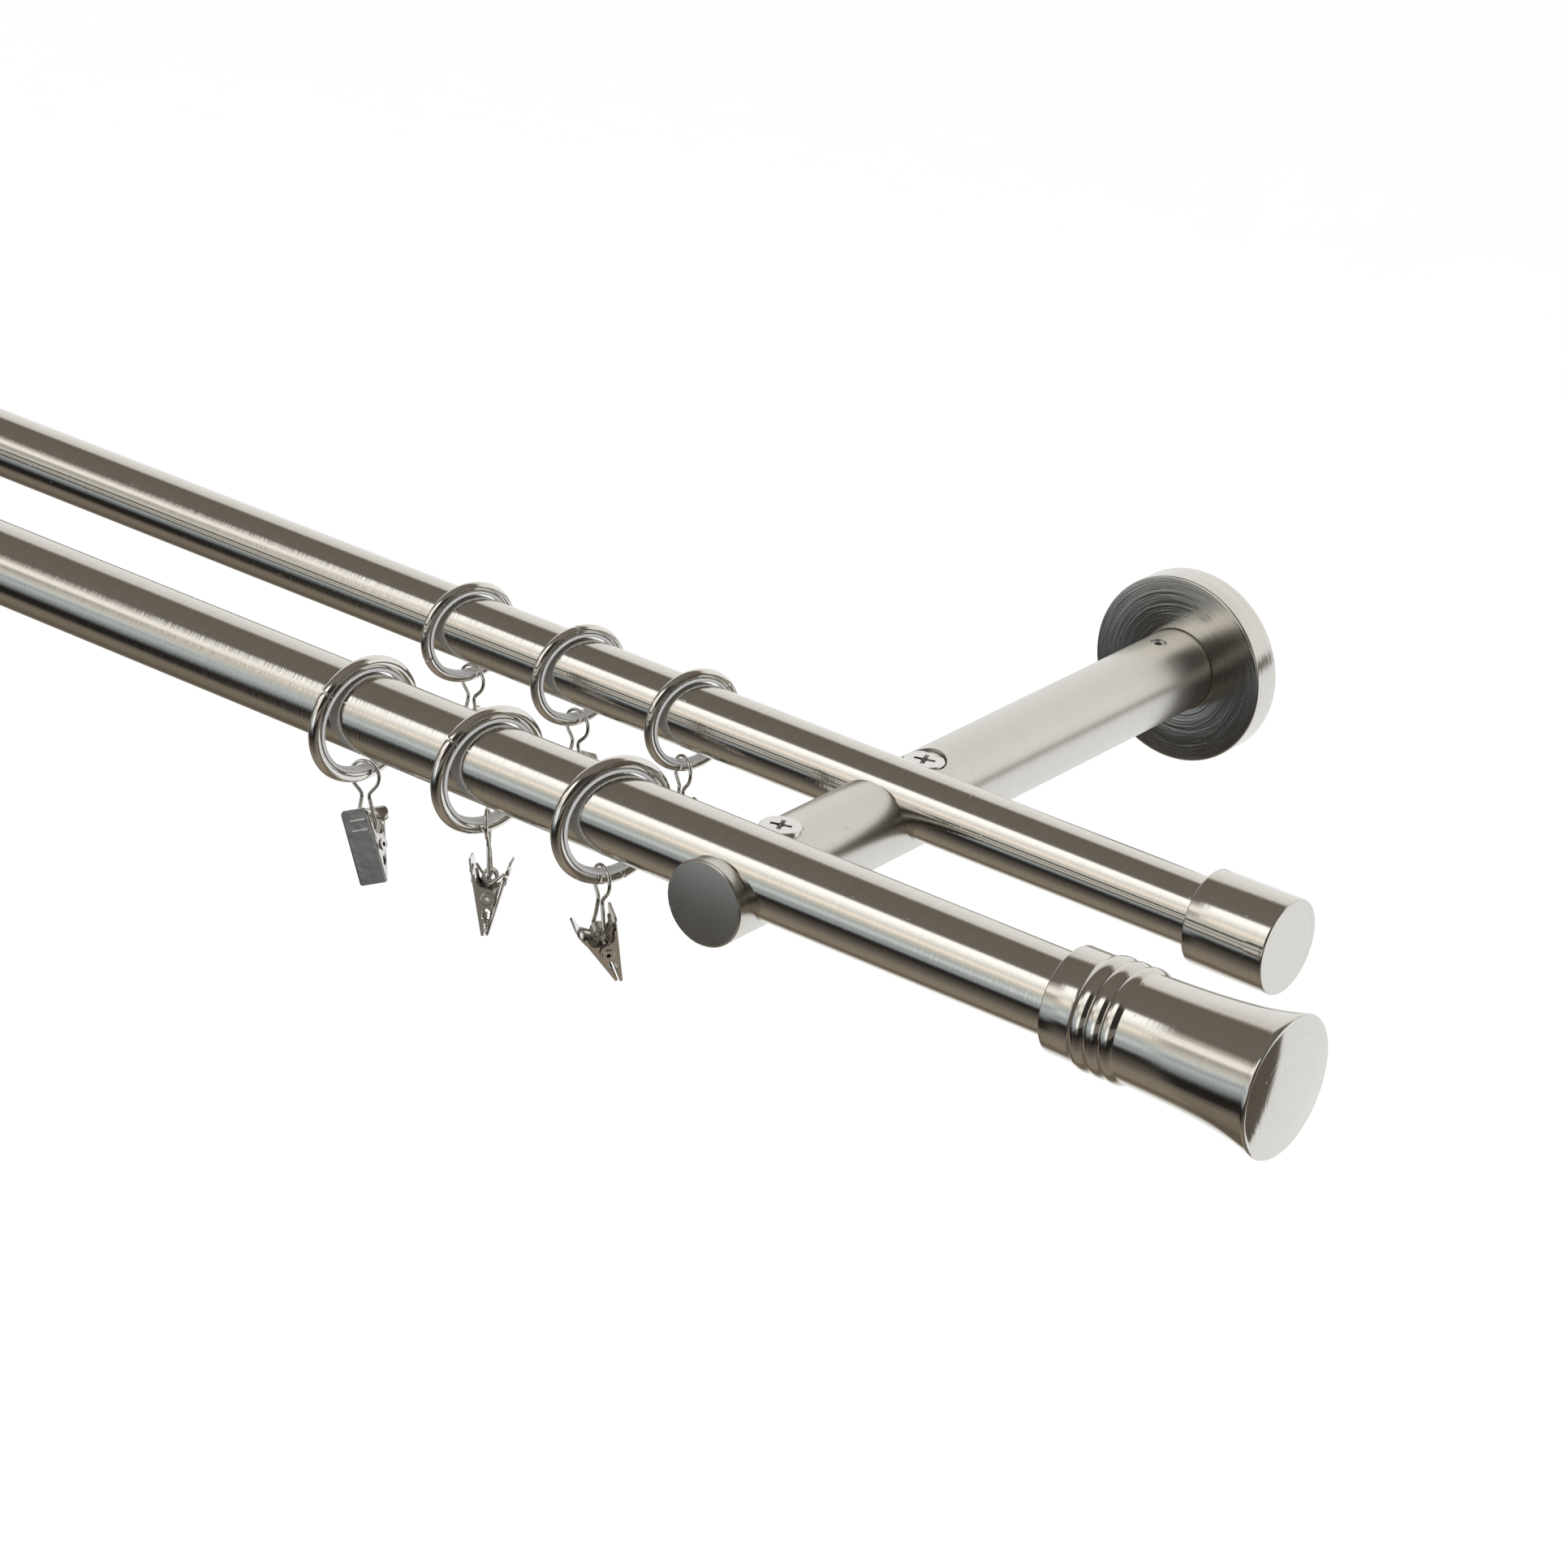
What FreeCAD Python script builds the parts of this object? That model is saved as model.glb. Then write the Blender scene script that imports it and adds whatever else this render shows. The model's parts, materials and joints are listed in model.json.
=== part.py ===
import FreeCAD, Part
import math
import os

os.makedirs("parts", exist_ok=True)

# Double curtain pole. The origin is the wall mount of the right hand bracket: the point where the
# axis of its arm meets the wall. +X runs along the poles to the right end, +Y into the wall, +Z up.
# All lengths are millimetres, all angles degrees.

V = FreeCAD.Vector
X_AXIS = V(1, 0, 0)
Y_AXIS = V(0, 1, 0)
Z_AXIS = V(0, 0, 1)
TINY = 0.01

# Poles
front_pole_d = 19.0
rear_pole_d = 16.0
pole_wall = 1.0
pole_length = 1200.0
pole_overhang = 100.0
front_reach = 181.0
rear_reach = 126.0

# Bracket arm, a solid bar with two saddles for the poles
arm_d = 20.0
pole_above_arm = 5.0
arm_past_front_pole = 13.0
arm_edge_break = 0.4
saddle_fit = 0.03
socket_d = 12.0
socket_depth = 20.0
hole_past_screw = 1.0

# Wall plate and its cover
plate_t = 2.5
plate_hole_d = 4.6
plate_hole_spacing = 30.0
spigot_fit = 0.03
spigot_short = 1.0
spigot_flat_depth = 1.0
spigot_flat_past_grub = 0.4
cover_d = 46.4
cover_depth = 8.0
cover_wall = 1.2
cover_edge = 0.6
cover_edge_facet = 0.2
cover_fit = 0.04

# Countersunk clamp screws
screw_d = 5.0
screw_head_d = 9.6
screw_head_lip = 1.2
screw_head_edge = 0.25
screw_length = 14.0
front_head_top = 5.4
rear_head_top = 4.2
head_touch = 0.02
head_pocket_play = 0.3
cross_span = 5.0
cross_width = 1.0
cross_depth = 1.4
cross_turn = 20.0
cross_core_r = 0.4

# Grub screw that holds the arm on the spigot
grub_d = 4.0
grub_length = 4.6
grub_from_wall = 18.0
grub_hex = 2.0
grub_hex_depth = 1.5

# Finial on the front pole
finial_socket = 13.6
finial_shell = 1.4
collar_r = 12.1
collar_length = 7.2
collar_edge = 0.5
collar_to_bead = 0.5
first_groove_r = 12.2
bead_count = 3
bead_r = 12.95
bead_pitch = 3.7
bead_groove_r = 12.35
flare_start_r = 12.1
flare_end_r = 15.95
flare_shares = (0.2, 0.35, 0.45)
flare_steps = 6
finial_length = 53.0
face_edge = 0.5
face_edge_rise = 0.4
face_edge_middle = (0.28, 0.12)
face_bulge = 1.6
shell_cone = 4.0
pole_socket_fit = 0.04

# End cap on the rear pole
cap_d = 21.9
cap_length = 20.3
cap_socket = 14.8
cap_edge = 0.5
cap_face_edge = 0.3

# Rings: mean radius, wire thickness, liner bore and liner half width for each pole
front_ring_mean = 13.92
front_ring_wire = 3.0
front_liner_r = 11.85
rear_ring_mean = 11.6
rear_ring_wire = 2.3
rear_liner_r = 10.0
liner_half_width = 1.25
liner_edge = 0.3
liner_lip = 0.2
liner_lip_rise = 0.35
liner_groove_slope = 0.15
liner_fit = 0.03
ring_gap = 0.3
ring_joint = 0.14

# Wire loop that hooks round the ring and carries the clip
loop_wire = 0.9
loop_r = 3.6
loop_rest = 0.2
loop_swing = 30
loop_eye_start = 67.0
loop_eye_step = 22.6
loop_eye_points = 6
loop_neck_half = 0.95
loop_neck_drop = 4.9
loop_neck_curve = ((0.62, 1.35), (0.12, 0.6), (0.0, -0.1), (0.15, -1.0))
loop_leg_slope = 0.3
loop_leg_low = 2.2
loop_foot_half = 2.45
loop_bend = 0.55
loop_drop = 12.4
loop_toe = 1.0

# Clip: two sheet jaws, a coil spring round the feet of the loop, a tubular rivet
jaw_sheet = 0.5
jaw_half = 3.6
inner_jaw_half = 2.9
jaw_handle = 8.8
jaw_tip = 8.7
jaw_handle_out = 4.9
jaw_tip_out = 0.75
jaw_tip_gap = 0.3
tip_corner = 0.4
handle_corner = 0.9
handle_widening = 0.8
tip_fold = 0.55
ear_reach = 1.7
ear_half_height = 0.8
ear_top = 2.6
ear_bottom = -2.2
ear_slope = 0.7
ear_foot_reach = 1.02
ear_shoulder_reach = 0.85
ear_into_sheet = 0.05
flange_top = 5.2
flange_end = 0.5
flange_depth = 0.9
flange_start = 0.3
tooth_start = 0.9
tooth_depth = 0.35
tooth_pitch = 0.7
tooth_count = 4
mouth_step = 0.75
rib_length = 4.4
rib_width = 0.9
rib_rise = 0.3
rib_root = 0.1
rib_shift = 0.4
rib_from_handle_end = (2.9, 5.3)
rivet_r = 0.95
rivet_bore = 0.5
rivet_head_r = 1.45
rivet_head_t = 0.3
rivet_fit = 0.05
coil_above_rivet = 4.6
coil_r = 1.45
coil_wire = 0.44
coil_whole_turns = 5
coil_half = 1.25
outer_leg_end = (-3.66, 2.2)
inner_leg_end = (1.85, 1.9)

# Where each ring hangs: station along the pole, turn about the vertical, angle of the joint in the
# wire, place of the loop round the ring, turn and lean of the loop, twist, tilt and nod of the clip
front_hangers = (
    (-108.5, -10.8, 150.0, 5.9, 13.9, -7.0, 0.0, -17.0, -15.0),
    (-71.6, -14.3, 150.0, 4.3, -57.0, -10.0, 0.0, -4.0, -6.0),
    (-36.0, -20.7, 60.0, -5.5, 157.6, -1.0, -14.0, -10.7, -24.0),
)
rear_hangers = (
    (-123.9, -20.0, 205.0, 10.2, -4.0, 0.0, 0.0, -3.0, -12.0),
    (-90.4, -20.0, 97.0, 3.9, -6.4, 2.0, 0.0, -12.0, -10.0),
    (-56.6, -20.0, 40.0, -6.4, -23.0, 0.0, 0.0, 6.0, -8.0),
)

# Values that follow from the sizes above
bracket_spacing = pole_length - 2.0 * pole_overhang
pole_mid_x = pole_overhang - pole_length / 2.0
arm_front_y = -(front_reach + arm_past_front_pole)
front_pole_r = front_pole_d / 2.0
rear_pole_r = rear_pole_d / 2.0
arm_r = arm_d / 2.0


def export(shape, name):
    """Write one piece as its own STEP file."""
    shape.exportStep("parts/" + name + ".step")


def rod(start, end, r):
    """Solid cylinder of radius r between two points."""
    axis = end.sub(start)
    return Part.makeCylinder(r, axis.Length, start, axis)


def tube(start, end, r_out, r_in):
    """Hollow cylinder between two points, open at both ends."""
    reach = end.sub(start).normalize()
    bore = rod(start - reach, end + reach, r_in)
    return rod(start, end, r_out).cut(bore)


def box(x0, x1, y0, y1, z0, z1):
    """Block between two corners."""
    return Part.makeBox(x1 - x0, y1 - y0, z1 - z0, V(x0, y0, z0))


def revolve(points, axis_point, axis):
    """Turn a closed outline of points about an axis."""
    outline = Part.makePolygon(points + [points[0]])
    return Part.Face(outline).revolve(axis_point, axis, 360)


def placed(shape, placement):
    """Copy of a shape moved by a placement."""
    copy = shape.copy()
    copy.Placement = placement.multiply(copy.Placement)
    return copy


def moved(shape, x, y, z):
    """Copy of a shape shifted by x, y, z."""
    copy = shape.copy()
    copy.translate(V(x, y, z))
    return copy


def mirrored(shape):
    """Copy of a shape mirrored to the other end of the poles."""
    return shape.mirror(V(pole_mid_x, 0, 0), X_AXIS)


def turn(axis, angle):
    """Placement that turns about an axis through the origin."""
    return FreeCAD.Placement(V(0, 0, 0), FreeCAD.Rotation(axis, angle))


def shift(vector):
    """Placement that only shifts."""
    return FreeCAD.Placement(vector, FreeCAD.Rotation())


# Poles, round tubes cut square at both ends
def pole(reach, d):
    """Round tube along X at its reach from the wall."""
    start = V(pole_overhang - pole_length, -reach, pole_above_arm)
    end = V(pole_overhang, -reach, pole_above_arm)
    return tube(start, end, d / 2.0, d / 2.0 - pole_wall)


export(pole(front_reach, front_pole_d), "front_pole")
export(pole(rear_reach, rear_pole_d), "rear_pole")


# Clamp screws stand just behind each pole, so that the rim of the head presses on the pole
def screw_behind(pole_r, head_top):
    """Distance from the pole axis to the screw axis: the lower rim of the head touches the pole."""
    rim_height = head_top - screw_head_lip
    touch = pole_r + head_touch
    return screw_head_d / 2.0 + math.sqrt(touch * touch - rim_height * rim_height)


screw_stations = (
    (-front_reach + screw_behind(front_pole_r, front_head_top), front_head_top),
    (-rear_reach + screw_behind(rear_pole_r, rear_head_top), rear_head_top),
)


def head_cone(rim_z, y):
    """Countersink cone below the rim of a screw head."""
    r = screw_head_d / 2.0
    depth = r - screw_d / 2.0
    return Part.makeCone(screw_d / 2.0, r, depth, V(0, y, rim_z - depth), Z_AXIS)


def clamp_screw(y, head_top):
    """Countersunk machine screw with a cross recess."""
    top = pole_above_arm + head_top
    rim = top - screw_head_lip
    head = Part.makeCylinder(screw_head_d / 2.0, screw_head_lip, V(0, y, rim), Z_AXIS)
    head = head.makeChamfer(screw_head_edge, [head.Edges[0]])
    shank = Part.makeCylinder(screw_d / 2.0, screw_length, V(0, y, top - screw_length), Z_AXIS)
    screw = head.fuse([head_cone(rim, y), shank])
    half = cross_span / 2.0
    wing = cross_width / 2.0
    slot_x = box(-half, half, y - wing, y + wing, top - cross_depth, top + 1)
    slot_y = box(-wing, wing, y - half, y + half, top - cross_depth, top + 1)
    core = Part.makeCone(cross_core_r, cross_width, cross_depth, V(0, y, top - cross_depth), Z_AXIS)
    recess = slot_x.fuse([slot_y, core])
    recess.rotate(V(0, y, 0), Z_AXIS, cross_turn)
    return screw.cut(recess).removeSplitter()


def screw_pocket(y, head_top):
    """Pocket and threaded hole in the arm for one clamp screw."""
    top = pole_above_arm + head_top
    rim = top - screw_head_lip
    pocket = Part.makeCylinder(screw_head_d / 2.0 + head_pocket_play, arm_d, V(0, y, rim), Z_AXIS)
    deep = top - screw_length - hole_past_screw
    hole = Part.makeCylinder(screw_d / 2.0, rim - deep, V(0, y, deep), Z_AXIS)
    return pocket.fuse([head_cone(rim, y), hole])


def saddle(reach, pole_r):
    """Space in the arm for a pole that is laid in from above."""
    r = pole_r + saddle_fit
    z = pole_above_arm
    groove = rod(V(-arm_d, -reach, z), V(arm_d, -reach, z), r)
    mouth = box(-arm_d, arm_d, -reach - r, -reach + r, z, z + arm_d)
    return groove.fuse(mouth)


# Arm with saddles, screw holes, a socket for the spigot and a hole for the grub screw
arm = rod(V(0, arm_front_y, 0), V(0, -plate_t, 0), arm_r)
tip_edges = [e for e in arm.Edges if e.BoundBox.YMax < arm_front_y + TINY]
arm = arm.makeChamfer(arm_edge_break, tip_edges)
socket = rod(V(0, -plate_t - socket_depth, 0), V(0, 0, 0), socket_d / 2.0)
grub_hole = rod(V(0, -grub_from_wall, 0), V(0, -grub_from_wall, arm_d), grub_d / 2.0)
arm = arm.cut([saddle(front_reach, front_pole_r), saddle(rear_reach, rear_pole_r), socket, grub_hole])
for station, head_top in screw_stations:
    arm = arm.cut(screw_pocket(station, head_top))
arm = arm.removeSplitter()

# Clamp screws and grub screw
screws = Part.makeCompound([clamp_screw(y, head_top) for y, head_top in screw_stations])
spigot_r = socket_d / 2.0 - spigot_fit
grub_bottom = V(0, -grub_from_wall, spigot_r - spigot_flat_depth)
grub_top = grub_bottom + V(0, 0, grub_length)
grub = rod(grub_bottom, grub_top, grub_d / 2.0)
hex_centre = grub_top - V(0, 0, grub_hex_depth)
hex_points = []
for a in range(0, 361, 60):
    corner = V(math.cos(math.radians(a)), math.sin(math.radians(a)), 0)
    hex_points.append(hex_centre + corner * (grub_hex / 2.0))
grub = grub.cut(Part.Face(Part.makePolygon(hex_points)).extrude(V(0, 0, grub_length)))

# Wall plate: disc with two screw holes and a spigot with a flat for the grub screw
plate_r = cover_d / 2.0 - cover_wall - cover_fit
plate = rod(V(0, -plate_t, 0), V(0, 0, 0), plate_r)
spigot = rod(V(0, -plate_t - socket_depth + spigot_short, 0), V(0, -plate_t, 0), spigot_r)
plate = plate.fuse(spigot)
flat_half = grub_d / 2.0 + spigot_flat_past_grub
plate = plate.cut(box(-spigot_r, spigot_r, -grub_from_wall - flat_half, -grub_from_wall + flat_half,
                      spigot_r - spigot_flat_depth, spigot_r + spigot_flat_depth))
for side in (-1, 1):
    x = side * plate_hole_spacing / 2.0
    plate = plate.cut(rod(V(x, -2.0 * plate_t, 0), V(x, plate_t, 0), plate_hole_d / 2.0))
plate = plate.removeSplitter()

# Cover: a turned dish that hides the plate, slid over the arm against the wall
cover_r = cover_d / 2.0
arm_hole_r = arm_r + cover_fit
face_y = -cover_depth
inner_face_y = face_y + cover_wall
cover = revolve([
    V(arm_hole_r, face_y, 0),
    V(cover_r - cover_edge, face_y, 0),
    V(cover_r - cover_edge_facet, face_y + cover_edge_facet, 0),
    V(cover_r, face_y + cover_edge, 0),
    V(cover_r, 0, 0),
    V(cover_r - cover_wall, 0, 0),
    V(cover_r - cover_wall, inner_face_y, 0),
    V(arm_hole_r, inner_face_y, 0),
], V(0, 0, 0), Y_AXIS)

for side, x in (("right", 0.0), ("left", -bracket_spacing)):
    export(moved(arm, x, 0, 0), "bracket_arm_" + side)
    export(moved(screws, x, 0, 0), "clamp_screws_" + side)
    export(moved(grub, x, 0, 0), "grub_screw_" + side)
    export(moved(plate, x, 0, 0), "wall_plate_" + side)
    export(moved(cover, x, 0, 0), "wall_cover_" + side)


# Finial: collar, three beads, trumpet flare and a slightly domed face, drawn as one turned shell
def arc_edge(a, b, c):
    """Arc through three points given as x, r pairs."""
    return Part.Arc(V(a[0], a[1], 0), V(b[0], b[1], 0), V(c[0], c[1], 0)).toShape()


def line_edge(a, b):
    """Straight edge between two x, r pairs."""
    return Part.makeLine(V(a[0], a[1], 0), V(b[0], b[1], 0))


def finial_shape():
    """Finial turned about the pole axis, with its open end at x = 0."""
    bore = front_pole_r + pole_socket_fit
    hollow_r = front_pole_r - pole_wall
    beads_x = collar_length + collar_to_bead
    flare_x = beads_x + bead_count * bead_pitch
    # Corner of the collar: its middle lies on a quarter circle
    bevel = collar_edge * (1.0 - math.sqrt(0.5))
    corner = (bevel, collar_r - bevel)
    edges = [line_edge((0, bore), (0, collar_r - collar_edge))]
    edges.append(arc_edge((0, collar_r - collar_edge), corner, (collar_edge, collar_r)))
    edges.append(line_edge((collar_edge, collar_r), (collar_length, collar_r)))
    edges.append(line_edge((collar_length, collar_r), (beads_x, first_groove_r)))
    grooves = [first_groove_r] + [bead_groove_r] * (bead_count - 1) + [flare_start_r]
    for i in range(bead_count):
        x0 = beads_x + i * bead_pitch
        x1 = x0 + bead_pitch
        edges.append(arc_edge((x0, grooves[i]), ((x0 + x1) / 2.0, bead_r), (x1, grooves[i + 1])))
    # The flare widens slowly at first and fast towards the rim
    span = finial_length - flare_x
    rise = flare_end_r - flare_start_r
    knots = []
    for i in range(flare_steps + 1):
        t = i / flare_steps
        share = flare_shares[0] * t + flare_shares[1] * t ** 2 + flare_shares[2] * t ** 4
        knots.append(V(flare_x + span * t, flare_start_r + rise * share, 0))
    flare = Part.BSplineCurve()
    flare.interpolate(knots)
    edges.append(flare.toShape())
    # Rounded rim, then a face that is part of a sphere with its centre on the axis
    rim = (finial_length, flare_end_r)
    dome_start = (finial_length + face_edge_rise, flare_end_r - face_edge)
    rim_mid = (finial_length + face_edge_middle[0], flare_end_r - face_edge_middle[1])
    edges.append(arc_edge(rim, rim_mid, dome_start))
    tip = (finial_length + face_bulge, 0)
    dome_height = tip[0] - dome_start[0]
    dome_r = (dome_start[1] ** 2 + dome_height ** 2) / (2.0 * dome_height)
    half_angle = math.asin(dome_start[1] / dome_r) / 2.0
    mid = (tip[0] - dome_r * (1.0 - math.cos(half_angle)), dome_r * math.sin(half_angle))
    edges.append(arc_edge(dome_start, mid, tip))
    # Inside: a hollow behind the face, and the socket for the pole
    inner_end = finial_length - finial_shell
    cone_end = finial_socket + shell_cone
    inside = [
        tip,
        (inner_end, 0),
        (inner_end, flare_start_r - finial_shell),
        (cone_end, hollow_r),
        (finial_socket, hollow_r),
        (finial_socket, bore),
        (0, bore),
    ]
    for start, end in zip(inside, inside[1:]):
        edges.append(line_edge(start, end))
    outline = Part.Wire(Part.__sortEdges__(edges))
    return Part.Face(outline).revolve(V(0, 0, 0), X_AXIS, 360)


finial = moved(finial_shape(), pole_overhang - finial_socket, -front_reach, pole_above_arm)
export(finial, "front_finial_right")
export(mirrored(finial), "front_finial_left")


# End cap: a plain sleeve with a flat closed end
def cap_shape():
    """Cap turned about the pole axis, with its open end at x = 0."""
    r = cap_d / 2.0
    bore = rear_pole_r + pole_socket_fit
    return revolve([
        V(0, bore, 0),
        V(0, r - cap_edge, 0),
        V(cap_edge, r, 0),
        V(cap_length - cap_face_edge, r, 0),
        V(cap_length, r - cap_face_edge, 0),
        V(cap_length, 0, 0),
        V(cap_socket, 0, 0),
        V(cap_socket, bore, 0),
    ], V(0, 0, 0), X_AXIS)


cap = moved(cap_shape(), pole_overhang - cap_socket, -rear_reach, pole_above_arm)
export(cap, "rear_end_cap_right")
export(mirrored(cap), "rear_end_cap_left")


# Rings: round wire with its two ends butted, and a clear liner of C section inside
def ring_drop(pole_r, liner_r, angle):
    """How far the ring centre hangs below the pole axis.

    The liner, turned by the angle, keeps the ring gap from the pole at its closest point.
    """
    reach = pole_r + ring_gap
    slant = liner_half_width * abs(math.sin(math.radians(angle)))
    lowest = liner_r - reach
    for step in range(1, 90):
        a = math.radians(90 - step)
        y = liner_r * math.cos(a) * math.cos(math.radians(angle)) - slant
        if abs(y) < reach:
            lowest = min(lowest, liner_r * math.sin(a) - math.sqrt(reach * reach - y * y))
    return lowest


def wire_ring(mean, wire, joint_angle):
    """Ring about X through the origin; the butt joint is at an angle from +Y towards +Z."""
    gap = math.degrees(ring_joint / mean)
    start = V(0, mean * math.cos(math.radians(joint_angle)), mean * math.sin(math.radians(joint_angle)))
    tangent = V(0, -start.z, start.y)
    disc = Part.Face(Part.Wire(Part.makeCircle(wire / 2.0, start, tangent)))
    return disc.revolve(V(0, 0, 0), X_AXIS, 360 - gap)


def liner(mean, wire, bore):
    """C section liner that lies inside the wire ring, its lips on both sides of the wire."""
    half = liner_half_width
    outer = mean - wire / 2.0 - liner_fit
    lip_r = outer + liner_lip_rise
    return revolve([
        V(-half + liner_edge, bore, 0),
        V(half - liner_edge, bore, 0),
        V(half, bore + liner_edge, 0),
        V(half, lip_r, 0),
        V(half - liner_lip, lip_r, 0),
        V(half - liner_lip - liner_groove_slope, outer, 0),
        V(-half + liner_lip + liner_groove_slope, outer, 0),
        V(-half + liner_lip, lip_r, 0),
        V(-half, lip_r, 0),
        V(-half, bore + liner_edge, 0),
    ], V(0, 0, 0), X_AXIS)


def loop_seat(mean, bore, skew):
    """Height of the loop circle above the ring section, so that its wire rests on the liner.

    Seen along the ring, the skewed loop is an ellipse. Its centre is raised until the edges of the
    liner stay clear of the wire through the whole swing of the loop.
    """
    clear = loop_wire / 2.0 + loop_rest
    squeeze = math.cos(math.radians(skew))
    edges = (
        (liner_half_width - liner_edge, mean - bore),
        (liner_half_width, mean - bore - liner_edge),
    )
    corners = []
    for swing in range(-loop_swing, loop_swing + 1, 10):
        a = math.radians(swing)
        for x, z in edges:
            corners.append((x * math.cos(a) - z * math.sin(a), x * math.sin(a) + z * math.cos(a)))
    arc = [math.radians(step) for step in range(0, 181, 3)]
    seat = -loop_r / 2.0
    while any(math.hypot(loop_r * math.cos(t) * squeeze - x, seat + loop_r * math.sin(t) - z) < clear
              for x, z in corners for t in arc):
        seat += TINY
    return seat


def wire_loop():
    """Omega loop in its own X-Z plane, centre of its round part at the origin."""
    half = []
    for step in range(loop_eye_points):
        a = math.radians(loop_eye_start - step * loop_eye_step)
        half.append((loop_r * math.cos(a), loop_r * math.sin(a)))
    # Neck, then the leg that spreads to its foot and bends in to the toe
    neck = -loop_neck_drop
    for wider, higher in loop_neck_curve:
        half.append((loop_neck_half + wider, neck + higher))
    foot = -loop_drop
    half.append((loop_foot_half - loop_leg_slope, foot + loop_leg_low))
    half.append((loop_foot_half, foot + loop_bend))
    bend_mid = loop_bend * (1.0 - math.sqrt(0.5))
    half.append((loop_foot_half - bend_mid, foot + bend_mid))
    half.append((loop_foot_half - loop_bend, foot))
    half.append((loop_toe, foot))
    points = [V(-x, 0, z) for x, z in reversed(half)]
    points.append(V(0, 0, loop_r))
    points += [V(x, 0, z) for x, z in half]
    path = Part.BSplineCurve()
    path.interpolate(points)
    disc = Part.Wire(Part.makeCircle(loop_wire / 2.0, points[0], V(-1, 0, 0)))
    return Part.Wire(path.toShape()).makePipeShell([disc], True, False)


# Jaw sheet line in side view: from the tip up to the handle, for the jaw on the +Y side
jaw_rise = jaw_handle + jaw_tip
jaw_run = jaw_handle_out - jaw_tip_out
jaw_span = math.hypot(jaw_rise, jaw_run)
jaw_up = V(0, jaw_run / jaw_span, jaw_rise / jaw_span)
jaw_in = V(0, -jaw_rise / jaw_span, jaw_run / jaw_span)
jaw_foot = V(0, jaw_tip_out, -jaw_tip)


def sheet_y(z):
    """Outer face of the jaw sheet at height z."""
    return jaw_tip_out + jaw_run * (z + jaw_tip) / jaw_rise


def on_sheet(x, along, depth):
    """Point on the jaw sheet: across, along from the tip, and depth below the outer face."""
    return V(x, 0, 0) + jaw_foot + jaw_up * along + jaw_in * depth


def jaw_outline(half, widened):
    """Outline of the sheet: half widths against the distance along from the tip."""
    outline = [(half - tip_corner, 0.0), (half, tip_corner)]
    if widened:
        # The inner jaw widens above the ears of the outer one
        neck = jaw_tip + flange_top + flange_end
        outline += [(half, neck), (jaw_half, neck + handle_widening * (jaw_half - half))]
    end_half = jaw_half if widened else half
    outline += [(end_half, jaw_span - handle_corner), (end_half - handle_corner, jaw_span)]
    return outline


def ear_outline():
    """Side view of an ear as y, z pairs: toothed mouth edge, rivet ear, then the handle flange."""
    mouth_y = jaw_tip_gap / 2.0
    bottom = -jaw_tip + flange_start
    first_tooth = -jaw_tip + tooth_start
    outline = [(sheet_y(bottom) - ear_into_sheet, bottom), (mouth_y, bottom + flange_start)]
    for i in range(tooth_count):
        z = first_tooth + i * tooth_pitch
        outline.append((mouth_y, z))
        outline.append((mouth_y + tooth_depth, z + tooth_pitch / 2.0))
    tooth_top = first_tooth + tooth_count * tooth_pitch
    outline += [
        (mouth_y, tooth_top),
        (mouth_y + mouth_step, tooth_top + tooth_depth),
        (mouth_y + mouth_step, ear_bottom - ear_slope),
        (-ear_foot_reach, ear_bottom + ear_slope),
        (-ear_reach, -ear_half_height),
        (-ear_reach, ear_half_height),
        (-ear_shoulder_reach, ear_top - flange_start),
        (sheet_y(ear_top) - flange_depth - ear_slope, ear_top),
        (sheet_y(ear_top + ear_slope) - flange_depth, ear_top + ear_slope),
        (sheet_y(flange_top) - flange_depth, flange_top),
        (sheet_y(flange_top + flange_end) - ear_into_sheet, flange_top + flange_end),
    ]
    return outline


def rib(along):
    """Rib pressed outwards, lying across the sheet with round ends."""
    middle = on_sheet(rib_shift, along, rib_root)
    rise = rib_rise + rib_root
    straight = rib_length - rib_width
    block = Part.makeBox(straight, rib_width, rise, V(-straight / 2.0, -rib_width / 2.0, 0))
    place = FreeCAD.Placement(middle, FreeCAD.Rotation(X_AXIS, jaw_up, jaw_in * -1))
    out = jaw_in * -rise
    ends = [rod(middle + V(x, 0, 0), middle + V(x, 0, 0) + out, rib_width / 2.0)
            for x in (-straight / 2.0, straight / 2.0)]
    return [placed(block, place)] + ends


def jaw_shape(half, widened):
    """One stamped jaw on the +Y side of the rivet axis, rivet at the origin."""
    outline = jaw_outline(half, widened)
    points = [on_sheet(x, s, 0) for x, s in outline]
    points += [on_sheet(-x, s, 0) for x, s in reversed(outline)]
    sheet = Part.Face(Part.makePolygon(points + [points[0]])).extrude(jaw_in * jaw_sheet)
    ear_points = [V(0, y, z) for y, z in ear_outline()]
    ear = Part.Face(Part.makePolygon(ear_points + [ear_points[0]])).extrude(V(jaw_sheet, 0, 0))
    pieces = [moved(ear, half - jaw_sheet, 0, 0), moved(ear, -half, 0, 0)]
    # The tip is folded inwards
    fold_half = half - tip_corner
    fold_end = sheet_y(-jaw_tip) - ear_into_sheet
    pieces.append(box(-fold_half, fold_half, jaw_tip_gap / 2.0, fold_end, -jaw_tip, tip_fold - jaw_tip))
    for from_end in rib_from_handle_end:
        pieces += rib(jaw_span - from_end)
    jaw = sheet.fuse(pieces)
    hole = rod(V(-jaw_handle, 0, 0), V(jaw_handle, 0, 0), rivet_r + rivet_fit)
    return jaw.cut(hole).removeSplitter()


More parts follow.
